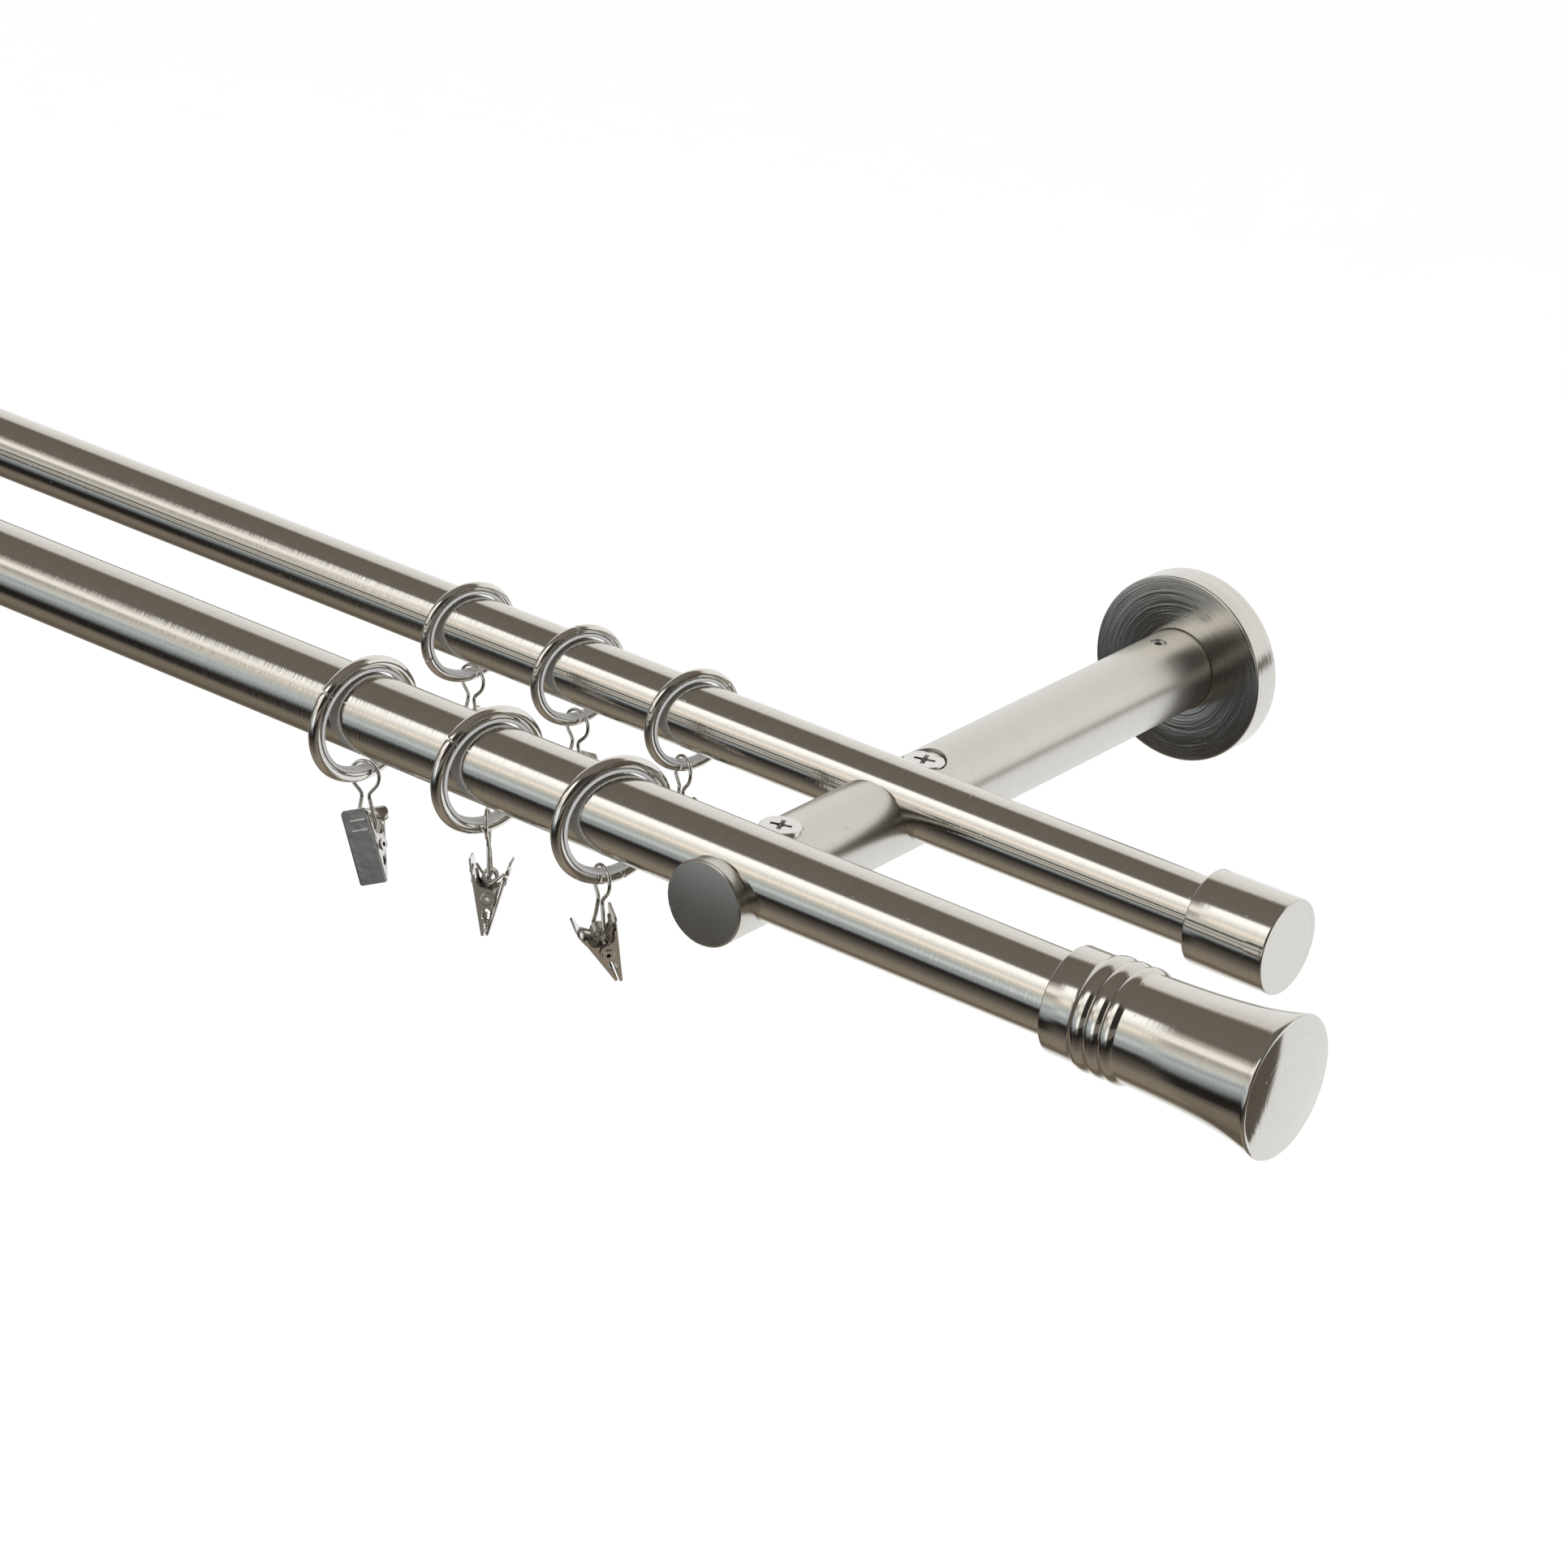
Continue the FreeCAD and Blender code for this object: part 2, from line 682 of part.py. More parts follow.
def rivet_shape():
    """Tubular rivet through the four ears."""
    reach = jaw_half + rivet_fit
    body = rod(V(-reach, 0, 0), V(reach, 0, 0), rivet_r)
    ends = [
        rod(V(reach, 0, 0), V(reach + rivet_head_t, 0, 0), rivet_head_r),
        rod(V(-reach - rivet_head_t, 0, 0), V(-reach, 0, 0), rivet_head_r),
    ]
    bore = rod(V(-2.0 * reach, 0, 0), V(2.0 * reach, 0, 0), rivet_bore)
    return body.fuse(ends).cut(bore).removeSplitter()


def spring_shape():
    """Coil spring about X through the origin, with a leg towards each handle.

    The leg on the side of the inner jaw is drawn as it lies when the clip is squeezed open.
    Both legs leave the coil along its tangent, on its low side.
    """
    leave = []
    for (y, z), side in ((outer_leg_end, 1), (inner_leg_end, -1)):
        opening = math.acos(coil_r / math.hypot(y, z))
        leave.append(math.atan2(z, y) + side * opening)
    start_angle, end_angle = (math.degrees(a) % 360.0 for a in leave)
    turns = coil_whole_turns + (end_angle - start_angle) / 360.0
    helix = Part.makeHelix(2.0 * coil_half / turns, 2.0 * coil_half, coil_r)
    start = helix.Edges[0].valueAt(helix.Edges[0].FirstParameter)
    disc = Part.Wire(Part.makeCircle(coil_wire / 2.0, start, Y_AXIS))
    spring = Part.Wire(helix).makePipeShell([disc], True, True)
    # The helix is made along Z from +X; it is laid along X and turned to start at the outer leg
    spring.rotate(V(0, 0, 0), Y_AXIS, 90)
    spring.rotate(V(0, 0, 0), X_AXIS, start_angle + 90.0)
    spring.translate(V(-coil_half, 0, 0))
    ends = ((-coil_half, leave[0], outer_leg_end), (coil_half, leave[1], inner_leg_end))
    legs = []
    for x, angle, (y, z) in ends:
        foot = V(x, coil_r * math.cos(angle), coil_r * math.sin(angle))
        legs.append(rod(foot, V(x, y, z), coil_wire / 2.0))
    return spring.fuse(legs)


loop = wire_loop()
outer_jaw = jaw_shape(jaw_half, False).mirror(V(0, 0, 0), Y_AXIS)
inner_jaw = jaw_shape(inner_jaw_half, True)
rivet = rivet_shape()
spring = moved(spring_shape(), 0, 0, coil_above_rivet)


def hanger_frames(hanger, reach, pole_r, mean, bore):
    """Placements of ring, loop and clip of one hanger, in the frame of the part."""
    station, ring_turn, _, around, loop_turn, loop_lean, twist, clip_tilt, clip_nod = hanger
    centre = V(station, -reach, pole_above_arm - ring_drop(pole_r, bore, ring_turn))
    ring_frame = shift(centre).multiply(turn(Z_AXIS, ring_turn))
    a = math.radians(around)
    section = ring_frame.multVec(V(0, mean * math.sin(a), -mean * math.cos(a)))
    tangent = ring_frame.Rotation.multVec(Y_AXIS)
    loop_centre = section + V(0, 0, loop_seat(mean, bore, loop_turn - ring_turn))
    loop_frame = shift(loop_centre).multiply(turn(tangent, loop_lean)).multiply(turn(Z_AXIS, loop_turn))
    coil_frame = loop_frame.multiply(shift(V(0, 0, -loop_drop)))
    for axis, angle in ((Z_AXIS, twist), (Y_AXIS, clip_tilt), (X_AXIS, clip_nod)):
        coil_frame = coil_frame.multiply(turn(axis, angle))
    clip_frame = coil_frame.multiply(shift(V(0, 0, -coil_above_rivet)))
    return ring_frame, loop_frame, coil_frame, clip_frame


def hang(hangers, name, reach, pole_r, mean, wire, bore):
    """Export the pieces of every hanger on one pole."""
    ring_liner = liner(mean, wire, bore)
    for number, hanger in enumerate(hangers, 1):
        ring_frame, loop_frame, _, clip_frame = hanger_frames(hanger, reach, pole_r, mean, bore)
        label = name + str(number)
        export(placed(wire_ring(mean, wire, hanger[2]), ring_frame), "ring_" + label)
        export(placed(ring_liner, ring_frame), "ring_liner_" + label)
        export(placed(loop, loop_frame), "clip_loop_" + label)
        export(placed(outer_jaw, clip_frame), "clip_outer_jaw_" + label)
        export(placed(inner_jaw, clip_frame), "clip_inner_jaw_" + label)
        export(placed(rivet, clip_frame), "clip_rivet_" + label)
        export(placed(spring, clip_frame), "clip_spring_" + label)


hang(front_hangers, "front_", front_reach, front_pole_r, front_ring_mean, front_ring_wire, front_liner_r)
hang(rear_hangers, "rear_", rear_reach, rear_pole_r, rear_ring_mean, rear_ring_wire, rear_liner_r)
print("pieces written:", len(os.listdir("parts")))
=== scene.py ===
# %% [markdown]
# # Double curtain pole
# Two round metal poles lie one behind the other in a pair of brackets. Each pole carries three
# wire rings with clear liners, and a sprung clip hangs from each ring. The imported CAD model is the
# fixed frame: every surface made here lies on it, in metres, and all pieces but the springs move with its
# bodies.

# %% Load the frame
import json
import math

import bmesh
import bpy
import numpy as np
from mathutils import Matrix, Vector


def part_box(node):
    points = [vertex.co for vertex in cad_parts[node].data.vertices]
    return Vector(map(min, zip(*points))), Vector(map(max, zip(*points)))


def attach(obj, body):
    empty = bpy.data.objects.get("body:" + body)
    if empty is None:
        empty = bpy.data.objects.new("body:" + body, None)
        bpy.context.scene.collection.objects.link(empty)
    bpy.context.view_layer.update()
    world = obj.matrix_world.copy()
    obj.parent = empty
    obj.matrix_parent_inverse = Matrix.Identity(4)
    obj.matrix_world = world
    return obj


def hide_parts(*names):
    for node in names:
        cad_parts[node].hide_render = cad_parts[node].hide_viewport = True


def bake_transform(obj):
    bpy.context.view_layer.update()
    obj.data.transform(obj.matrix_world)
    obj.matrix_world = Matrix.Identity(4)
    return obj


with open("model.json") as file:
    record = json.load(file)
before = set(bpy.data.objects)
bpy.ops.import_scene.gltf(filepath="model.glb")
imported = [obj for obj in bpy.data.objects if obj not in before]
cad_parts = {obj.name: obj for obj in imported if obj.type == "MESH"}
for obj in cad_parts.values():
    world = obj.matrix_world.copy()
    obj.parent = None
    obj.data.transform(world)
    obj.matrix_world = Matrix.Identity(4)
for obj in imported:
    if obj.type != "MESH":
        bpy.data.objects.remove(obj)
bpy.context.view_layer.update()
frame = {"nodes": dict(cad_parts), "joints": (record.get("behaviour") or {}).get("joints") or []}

# %% [markdown]
# ## Writing shader maths as Python
# A finish is a small graph of nodes. Wiring it by hand hides what it computes, so one class wraps
# a socket and lets numbers and sockets meet in plain expressions. Colours and vectors have their
# own methods, because a Math node would turn them grey.

# %% Sockets in expressions
class Value:
    """A node output that takes part in expressions; each operator adds one Math node."""

    def __init__(self, tree, socket):
        self.tree = tree
        self.socket = socket

    def math(self, operation, *others):
        node = self.tree.nodes.new("ShaderNodeMath")
        node.operation = operation
        for slot_in, value in zip(node.inputs, (self,) + others):
            feed(self.tree, slot_in, value)
        return Value(self.tree, node.outputs[0])

    def __add__(self, other):
        return self.math("ADD", other)

    def __sub__(self, other):
        return self.math("SUBTRACT", other)

    def __mul__(self, other):
        return self.math("MULTIPLY", other)

    def __truediv__(self, other):
        return self.math("DIVIDE", other)

    def __pow__(self, other):
        return self.math("POWER", other)

    def __rsub__(self, other):
        return (self * -1.0) + other

    def __rtruediv__(self, other):
        return (self ** -1.0) * other

    __radd__ = __add__
    __rmul__ = __mul__

    def smooth(self, low, high):
        """0 below low, 1 above high, an S curve between."""
        node = self.tree.nodes.new("ShaderNodeMapRange")
        node.interpolation_type = "SMOOTHSTEP"
        for name, value in (("Value", self), ("From Min", low), ("From Max", high)):
            feed(self.tree, node.inputs[name], value)
        return Value(self.tree, node.outputs["Result"])


def feed(tree, socket, value):
    """Link a socket to a Value, or set it to a number, colour or vector."""
    if isinstance(value, Value):
        tree.links.new(value.socket, socket)
    else:
        socket.default_value = value


class Graph:
    """The node tree of one finish or of the world."""

    def __init__(self, owner):
        owner.use_nodes = True
        self.tree = owner.node_tree
        self.tree.nodes.clear()

    def node(self, kind, settings=None, inputs=None, output=0):
        """Add a node, apply its settings first, then feed its sockets, and return one output."""
        node = self.tree.nodes.new("ShaderNode" + kind)
        for name, value in (settings or {}).items():
            if name == "stops":
                set_stops(node.color_ramp, value)
            else:
                setattr(node, name, value)
        for name, value in (inputs or {}).items():
            feed(self.tree, node.inputs[name], value)
        return Value(self.tree, node.outputs[output]) if node.outputs else None

    def place(self, scale=(1.0, 1.0, 1.0), location=(0.0, 0.0, 0.0), rotation=(0.0, 0.0, 0.0)):
        """Object coordinates, shifted, turned and scaled for a pattern."""
        coords = self.node("TexCoord", output="Object")
        return self.node("Mapping", {"vector_type": "POINT"},
                         {"Vector": coords, "Location": location, "Rotation": rotation, "Scale": scale})

    def scaled(self, vector, scale):
        """A vector whose three parts are each multiplied by a number."""
        return self.node("VectorMath", {"operation": "MULTIPLY"}, {0: vector, 1: scale})

    def noise(self, vector, scale=1.0, detail=2.0, rough=0.5):
        """Perlin noise value at a place."""
        return self.node("TexNoise", None, {"Vector": vector, "Scale": scale, "Detail": detail,
                                            "Roughness": rough}, output=0)

    def blend(self, factor, one, two):
        """Colour one where the factor is 0, colour two where it is 1."""
        node = self.tree.nodes.new("ShaderNodeMix")
        node.data_type = "RGBA"
        for name, value in (("Factor_Float", factor), ("A_Color", one), ("B_Color", two)):
            feed(self.tree, next(s for s in node.inputs if s.identifier == name), value)
        return Value(self.tree, next(s for s in node.outputs if s.identifier == "Result_Color"))

    def ramp(self, factor, stops):
        """Colour against a factor of 0 to 1 that stands for -180 to 180 degrees."""
        return self.node("ValToRGB", {"stops": [((a + 180.0) / 360.0, c) for a, c in stops]}, {"Fac": factor})

    def bump(self, height, distance):
        """Normal bent by a height; the distance is the height of a step of 1, in metres."""
        return self.node("Bump", None, {"Height": height, "Distance": distance, "Strength": 1.0})


def set_stops(ramp, stops):
    """Fill a colour ramp from (position, colour) pairs."""
    while len(ramp.elements) > 1:
        ramp.elements.remove(ramp.elements[-1])
    ramp.elements[0].position = stops[0][0]
    ramp.elements[0].color = (*stops[0][1], 1.0)
    for position, colour in stops[1:]:
        ramp.elements.new(position).color = (*colour, 1.0)


def finish_from(name, build):
    """Make a material whose surface is what build returns as a dict of Principled inputs."""
    material = bpy.data.materials.new(name)
    graph = Graph(material)
    inputs = build(graph)
    shader = graph.node("BsdfPrincipled", None, inputs)
    graph.node("OutputMaterial", None, {"Surface": shader})
    print("finish", name, "uses", len(graph.tree.nodes), "nodes")
    return material


# %% [markdown]
# ## Satin nickel
# Poles and bracket are steel with a nickel plating that was brushed round and round before it was
# lacquered. The hairlines are far finer than a pixel, so a stretched noise stands for them: fine
# along the piece and long round it. It bends the normal by some micrometres and varies the gloss. The
# covers are brushed more coarsely than the poles, and the arms are the dullest.

# %% Satin nickel for pieces along X, for the arm along Y and for turned faces
NICKEL = (0.66, 0.645, 0.61, 1.0)


def brushed(gloss, hair_depth, band_depth, axis=None, along=45.0, contrast=0.04):
    """Inputs of a finish brushed round an axis, or round the axis of a turned piece.

    Depths are the heights, in metres, of a full step of the fine and of the coarse lines.
    """
    def build(g):
        if axis is None:
            where = g.node("Attribute", {"attribute_name": "brush"}, output="Vector")
            across = 0
        else:
            where = g.node("TexCoord", output="Object")
            across = axis
        fine = [along, along, along]
        fine[across] = 2600.0
        coarse = [along * 0.5] * 3
        coarse[across] = 850.0
        hair = g.noise(g.scaled(where, fine), 1.0, 2.0, 0.6)
        band = g.noise(g.scaled(where, coarse), 1.0, 2.0, 0.55)
        plain = g.place((1.0, 1.0, 1.0))
        speck = g.noise(plain, 900.0, 1.0, 0.4).smooth(0.76, 0.80)
        cloud = g.noise(plain, 60.0, 2.0, 0.5)
        height = hair * hair_depth + band * band_depth + speck * 0.00001
        low = tuple(c - contrast for c in NICKEL[:3]) + (1.0,)
        high = tuple(c + contrast for c in NICKEL[:3]) + (1.0,)
        return {
            "Base Color": g.blend((hair * 0.6 + band * 0.4).smooth(0.3, 0.7), low, high),
            "Metallic": 1.0,
            "Roughness": hair * 0.05 + cloud * 0.03 + gloss + speck * 0.2,
            "Normal": g.bump(height, 1.0),
        }
    return build


satin_pole = finish_from("satin_nickel_pole", brushed(0.015, 0.000018, 0.000010, contrast=0.025))
satin_turned = finish_from("satin_nickel_turned", brushed(0.03, 0.000005, 0.000006, contrast=0.02))
satin_cover = finish_from("satin_nickel_cover", brushed(0.13, 0.000040, 0.000075, along=75.0, contrast=0.04))
satin_arm = finish_from("satin_nickel_arm", brushed(0.26, 0.000012, 0.000006, axis=1, contrast=0.02))

# %% [markdown]
# ## Polished nickel, spring wire and zinc
# Rings, loops and clips are barrel polished: almost a mirror, with a slow waviness left by the
# tumbling, stronger on the thin sheet of the clips. The springs are a little duller, the front ends
# of the arms get a dark tint painted in for the dark reflection they show, and what sits behind the covers is
# zinc plated.

# %% Bright metals
def polished(tint, gloss, wave, wave_size, grain=0.07, peel=0.0):
    """Inputs of a tumbled bright metal.

    wave and peel are the heights, in metres, of the slow and of the fine unevenness, wave_size is
    the number of slow waves a metre, and grain is how much the roughness varies.
    """
    def build(g):
        slow = g.noise(g.place((1.0, 1.0, 1.0)), wave_size, 1.0, 0.4)
        fine = g.noise(g.place((1.0, 1.0, 1.0)), wave_size * 9.0, 3.0, 0.6)
        pit = g.noise(g.place((1.0, 1.0, 1.0)), 2600.0, 1.0, 0.5).smooth(0.70, 0.78)
        darker = tuple(c * 0.86 for c in tint) + (1.0,)
        return {
            "Base Color": g.blend(fine * 0.7 + pit * 0.3, (*tint, 1.0), darker),
            "Metallic": 1.0,
            "Roughness": fine * grain + pit * 0.15 + gloss,
            "Normal": g.bump(slow * wave + fine * peel - pit * wave * 0.05, 1.0),
        }
    return build


polished_nickel = finish_from("polished_nickel", polished((0.78, 0.765, 0.735), 0.005, 0.000003, 260.0, 0.03))
clip_nickel = finish_from("clip_nickel", polished((0.74, 0.725, 0.695), 0.07, 0.00004, 330.0, peel=0.000007))
spring_wire = finish_from("spring_wire", polished((0.74, 0.72, 0.68), 0.16, 0.000003, 600.0))
screw_nickel = finish_from("screw_nickel", polished((0.76, 0.755, 0.735), 0.12, 0.00001, 500.0))
# Front end faces of the arms: a dark tint painted in for the dark reflection they show, not a darker metal
end_face_painted_dark = finish_from("end_face_painted_dark", polished((0.26, 0.25, 0.235), 0.04, 0.000004, 200.0))
zinc_steel = finish_from("zinc_steel", polished((0.58, 0.59, 0.61), 0.32, 0.00003, 700.0))

# %% [markdown]
# ## Clear liner
# The liner that keeps a ring quiet on its pole is a clear, milky plastic. Light enters it, scatters
# and comes out again, so it looks pale grey against the metal. A pale principled shader with a
# little light passing through, a soft gloss and fine rings from the mould gives that.

# %% Clear liner
def clear_plastic(g):
    """Inputs of the milky plastic, ribbed along the profile of the piece."""
    where = g.node("Attribute", {"attribute_name": "brush"}, output="Vector")
    milk = g.noise(g.place((1.0, 1.0, 1.0)), 500.0, 3.0, 0.6)
    ridges = g.noise(g.scaled(where, (2100.0, 25.0, 25.0)), 1.0, 2.0, 0.5)
    return {
        "Base Color": g.blend(ridges.smooth(0.35, 0.65), (0.96, 0.96, 0.95, 1.0), (0.80, 0.80, 0.79, 1.0)),
        "Roughness": milk * 0.10 + 0.30,
        "Transmission Weight": 0.10,
        "IOR": 1.42,
        "Normal": g.bump(ridges, 0.00006),
    }


clear_liner = finish_from("clear_liner", clear_plastic)

# %% [markdown]
# ## Surfaces as grids
# A turned or bent piece is a function of two parameters: a place along its profile or path, and an
# angle round it. Worked out as whole arrays, it has as many facets as the reflections need, and
# its seams and poles close exactly.

# %% Mesh from a grid of points
def piece_from(name, vertices, faces, material, sharp_angle=35.0):
    """Mesh object at the origin, faces outwards, smooth except at edges sharper than the angle."""
    mesh = bpy.data.meshes.new(name)
    mesh.from_pydata(vertices, [], faces)
    volume = 0.0
    points = np.asarray(vertices)
    for size in {len(f) for f in faces}:
        index = np.array([f for f in faces if len(f) == size])
        first = points[index[:, 0]]
        for k in range(1, size - 1):
            second, third = points[index[:, k]], points[index[:, k + 1]]
            volume += np.einsum("ij,ij->i", first, np.cross(second, third)).sum()
    if volume < 0.0:
        mesh.flip_normals()
    mesh.materials.append(material)
    mesh.shade_smooth()
    mesh.set_sharp_from_angle(angle=math.radians(sharp_angle))
    mesh.validate()
    piece = bpy.data.objects.new(name, mesh)
    bpy.context.scene.collection.objects.link(piece)
    return piece


def grid_faces(rows, columns, close_rows, close_columns):
    """Quads between neighbours of a grid, wrapped where it closes on itself."""
    i = np.arange(rows if close_rows else rows - 1)
    j = np.arange(columns if close_columns else columns - 1)
    i, j = np.meshgrid(i, j, indexing="ij")
    i2 = (i + 1) % rows
    j2 = (j + 1) % columns
    quads = np.stack([i * columns + j, i2 * columns + j, i2 * columns + j2, i * columns + j2], axis=-1)
    return quads.reshape(-1, 4).tolist()


def turned(name, profile, centre, axis, material, sides=192, matrix=None, sharp_angle=35.0):
    """Profile of (along, radius) pairs turned about an axis.

    A point is centre + along * axis + radius * (cos t * side + sin t * up). A profile whose ends
    both lie on the axis is a solid of its own; any other is closed on itself, as a tube's is.
    """
    profile = np.asarray(profile, dtype=float)
    on_axis = profile[0, 1] < 1e-9 and profile[-1, 1] < 1e-9
    body = profile[1:-1] if on_axis else profile
    t = np.linspace(0.0, 2.0 * math.pi, sides, endpoint=False)
    along = np.asarray(axis, dtype=float)
    side = np.array([0.0, 0.0, 1.0]) if abs(along[2]) < 0.9 else np.array([1.0, 0.0, 0.0])
    up = np.cross(along, side)
    ring = np.cos(t)[:, None] * side + np.sin(t)[:, None] * up
    points = np.asarray(centre) + body[:, 0, None, None] * along + body[:, 1, None, None] * ring
    rows = len(body)
    vertices = points.reshape(-1, 3)
    faces = grid_faces(rows, sides, not on_axis, True)
    if on_axis:
        ends = np.asarray(centre) + profile[[0, -1], 0, None] * along
        vertices = np.vstack([vertices, ends])
        for row, tip in ((0, len(vertices) - 2), (rows - 1, len(vertices) - 1)):
            start = row * sides
            order = range(sides) if row else range(sides - 1, -1, -1)
            loop = [start + k for k in order]
            faces += [[loop[k], loop[(k + 1) % sides], tip] for k in range(sides)]
    # The finish needs to know how far a point is along the profile, and where it is round the axis
    length = np.concatenate([[0.0], np.cumsum(np.linalg.norm(np.diff(body, axis=0), axis=1))])
    brush = np.concatenate([np.broadcast_to(length[:, None, None], (rows, sides, 1)),
                            body[:, 1, None, None] * np.stack([np.cos(t), np.sin(t)], axis=1)[None]], axis=2)
    brush = brush.reshape(-1, 3)
    if on_axis:
        brush = np.vstack([brush, [[-body[0, 1], 0.0, 0.0], [length[-1] + body[-1, 1], 0.0, 0.0]]])
    if matrix is not None:
        vertices = moved_points(vertices, matrix)
    piece = piece_from(name, vertices, faces, material, sharp_angle)
    layer = piece.data.attributes.new("brush", "FLOAT_VECTOR", "POINT")
    layer.data.foreach_set("vector", np.ascontiguousarray(brush, dtype=np.float32).ravel())
    return piece


def moved_points(points, matrix):
    """Points carried by a 4 x 4 placement."""
    return np.asarray(points) @ matrix[:3, :3].T + matrix[:3, 3]


def rounded(profile, radius, steps=4):
    """A closed profile with each corner replaced by a short arc of about that radius."""
    p = np.asarray(profile, dtype=float)
    before = np.roll(p, 1, axis=0) - p
    after = np.roll(p, -1, axis=0) - p
    reach_before = np.linalg.norm(before, axis=1)
    reach_after = np.linalg.norm(after, axis=1)
    cut = np.minimum(np.minimum(reach_before, reach_after) * 0.45, radius)[:, None]
    start = p + before / reach_before[:, None] * cut
    end = p + after / reach_after[:, None] * cut
    s = np.linspace(0.0, 1.0, steps + 1)[None, :, None]
    arcs = (1 - s) ** 2 * start[:, None] + 2 * s * (1 - s) * p[:, None] + s ** 2 * end[:, None]
    return arcs.reshape(-1, 2)


def bent_wire(path, normal, radius, sides=20):
    """Round wire along a flat or nearly flat path, with slightly domed ends.

    Each ring of points is path + radius * (cos t * normal + sin t * normal x tangent).
    """
    path = np.asarray(path, dtype=float)
    tangent = np.gradient(path, axis=0)
    tangent /= np.linalg.norm(tangent, axis=1)[:, None]
    normal = np.broadcast_to(np.asarray(normal, dtype=float), path.shape)
    normal = normal - np.einsum("ij,ij->i", normal, tangent)[:, None] * tangent
    normal = normal / np.linalg.norm(normal, axis=1)[:, None]
    side = np.cross(tangent, normal)
    t = np.linspace(0.0, 2.0 * math.pi, sides, endpoint=False)
    rim = np.cos(t)[None, :, None] * normal[:, None] + np.sin(t)[None, :, None] * side[:, None]
    rings = path[:, None] + radius * rim
    # Three smaller rings at each end round it off inside its own length
    shrink = np.array([0.55, 0.85, 0.97])[:, None, None]
    lift = np.array([0.0, 0.06, 0.16])[:, None, None] * radius
    first = path[0] + lift * tangent[0] + radius * shrink * rim[0]
    last = path[-1] - lift * tangent[-1] + radius * shrink * rim[-1]
    rings = np.concatenate([first, rings[1:-1], last[::-1]])
    rows = len(rings)
    faces = grid_faces(rows, sides, False, True)
    vertices = rings.reshape(-1, 3)
    faces.append([k for k in range(sides - 1, -1, -1)])
    faces.append([(rows - 1) * sides + k for k in range(sides)])
    return vertices, faces

# %% [markdown]
# ## Sizes and places
# The sizes are those of the CAD model. A hanger is a ring, its liner, the wire loop and the clip;
# each is placed by a chain of turns and shifts, ring first, because the loop hangs from the ring
# and the clip hangs from the loop.

# %% Sizes in metres and the chain of placements
MM = 0.001
POLE_Z = 5.0 * MM
FRONT_Y = -181.0 * MM
REAR_Y = -126.0 * MM
POLE_ENDS = (-1100.0 * MM, 100.0 * MM)
MID_X = -500.0 * MM
LEFT_X = -1000.0 * MM
POLES = {
    "front": dict(y=FRONT_Y, r=9.5 * MM, mean=13.92 * MM, wire=3.0 * MM, bore=11.85 * MM),
    "rear": dict(y=REAR_Y, r=8.0 * MM, mean=11.6 * MM, wire=2.3 * MM, bore=10.0 * MM),
}
# Each row: turn of the ring, angle of its joint, turn and lean of the loop, twist, tilt and nod
# of the clip, all in degrees
HANGERS = {
    "front_1": (-10.8, 142.0, 13.9, -7.0, 0.0, -17.0, -15.0),
    "front_2": (-14.3, 139.0, -57.0, -10.0, 0.0, -4.0, -6.0),
    "front_3": (-20.7, 285.0, 157.6, -1.0, -14.0, -10.7, -24.0),
    "rear_1": (-20.0, 205.0, -4.0, 0.0, 0.0, -3.0, -12.0),
    "rear_2": (-20.0, 97.0, -6.4, 2.0, 0.0, -12.0, -10.0),
    "rear_3": (-20.0, 40.0, -23.0, 0.0, 0.0, 6.0, -8.0),
}
ARM_R = 10.0 * MM
ARM_END_Y = FRONT_Y - 13.0 * MM
ARM_EDGE = 0.2 * MM
SADDLE_FIT = 0.03 * MM
COVER_R = 23.2
COVER_DEPTH = 8.0
COVER_WALL = 1.2
RING_JOINT = 0.14 * MM
LINER_HALF = 1.25 * MM
LINER_FIT = 0.03 * MM
LINER_LIP = 0.35 * MM
LOOP_R = 3.6 * MM
LOOP_WIRE_R = 0.45 * MM
LOOP_DROP = 12.4 * MM
COIL_ABOVE_RIVET = 4.6 * MM
JAW_EDGE = 0.07 * MM
JAW_FOLD = 0.4 * MM
RIB_EDGE = 0.18 * MM


def turned_by(axis, degrees):
    """Placement that turns about an axis through the origin."""
    return np.array(Matrix.Rotation(math.radians(degrees), 4, Vector(axis)))


def shifted_by(x, y, z):
    """Placement that only shifts."""
    return np.array(Matrix.Translation((x, y, z)))


joints = {j["name"]: j for j in frame["joints"]}


def hanger_places(name):
    """Placements of ring, loop, coil and clip. The joints of the CAD record give the fixed points."""
    ring_turn, _, loop_turn, lean, twist, tilt, nod = HANGERS[name]
    low, high = (np.array(corner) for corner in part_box("ring_liner_" + name))
    ring = shifted_by(*((low + high) / 2.0)) @ turned_by((0, 0, 1), ring_turn)
    coil_at = np.array(joints["clip_swing_" + name]["pos_m"])
    rivet_at = np.array(joints["jaw_open_" + name]["pos_m"])
    tangent = ring[:3, 1]
    loop_turns = turned_by(tangent, lean) @ turned_by((0, 0, 1), loop_turn)
    loop = shifted_by(*(coil_at + loop_turns[:3, 2] * LOOP_DROP)) @ loop_turns
    clip_turns = (loop_turns @ turned_by((0, 0, 1), twist) @ turned_by((0, 1, 0), tilt)
                  @ turned_by((1, 0, 0), nod))
    coil = shifted_by(*coil_at) @ clip_turns
    clip = shifted_by(*rivet_at) @ clip_turns
    miss = np.linalg.norm(coil_at - (rivet_at + clip_turns[:3, 2] * COIL_ABOVE_RIVET))
    print(name, "coil is", round(miss * 1e6, 1), "micrometres from where the clip puts it")
    return ring, loop, coil, clip


places = {name: hanger_places(name) for name in HANGERS}

# %% [markdown]
# ## Poles
# Each pole is a thin tube. Turned as a grid with many sides, it reflects the lamps as straight
# bands. Its cut ends are hidden in the finials and caps.

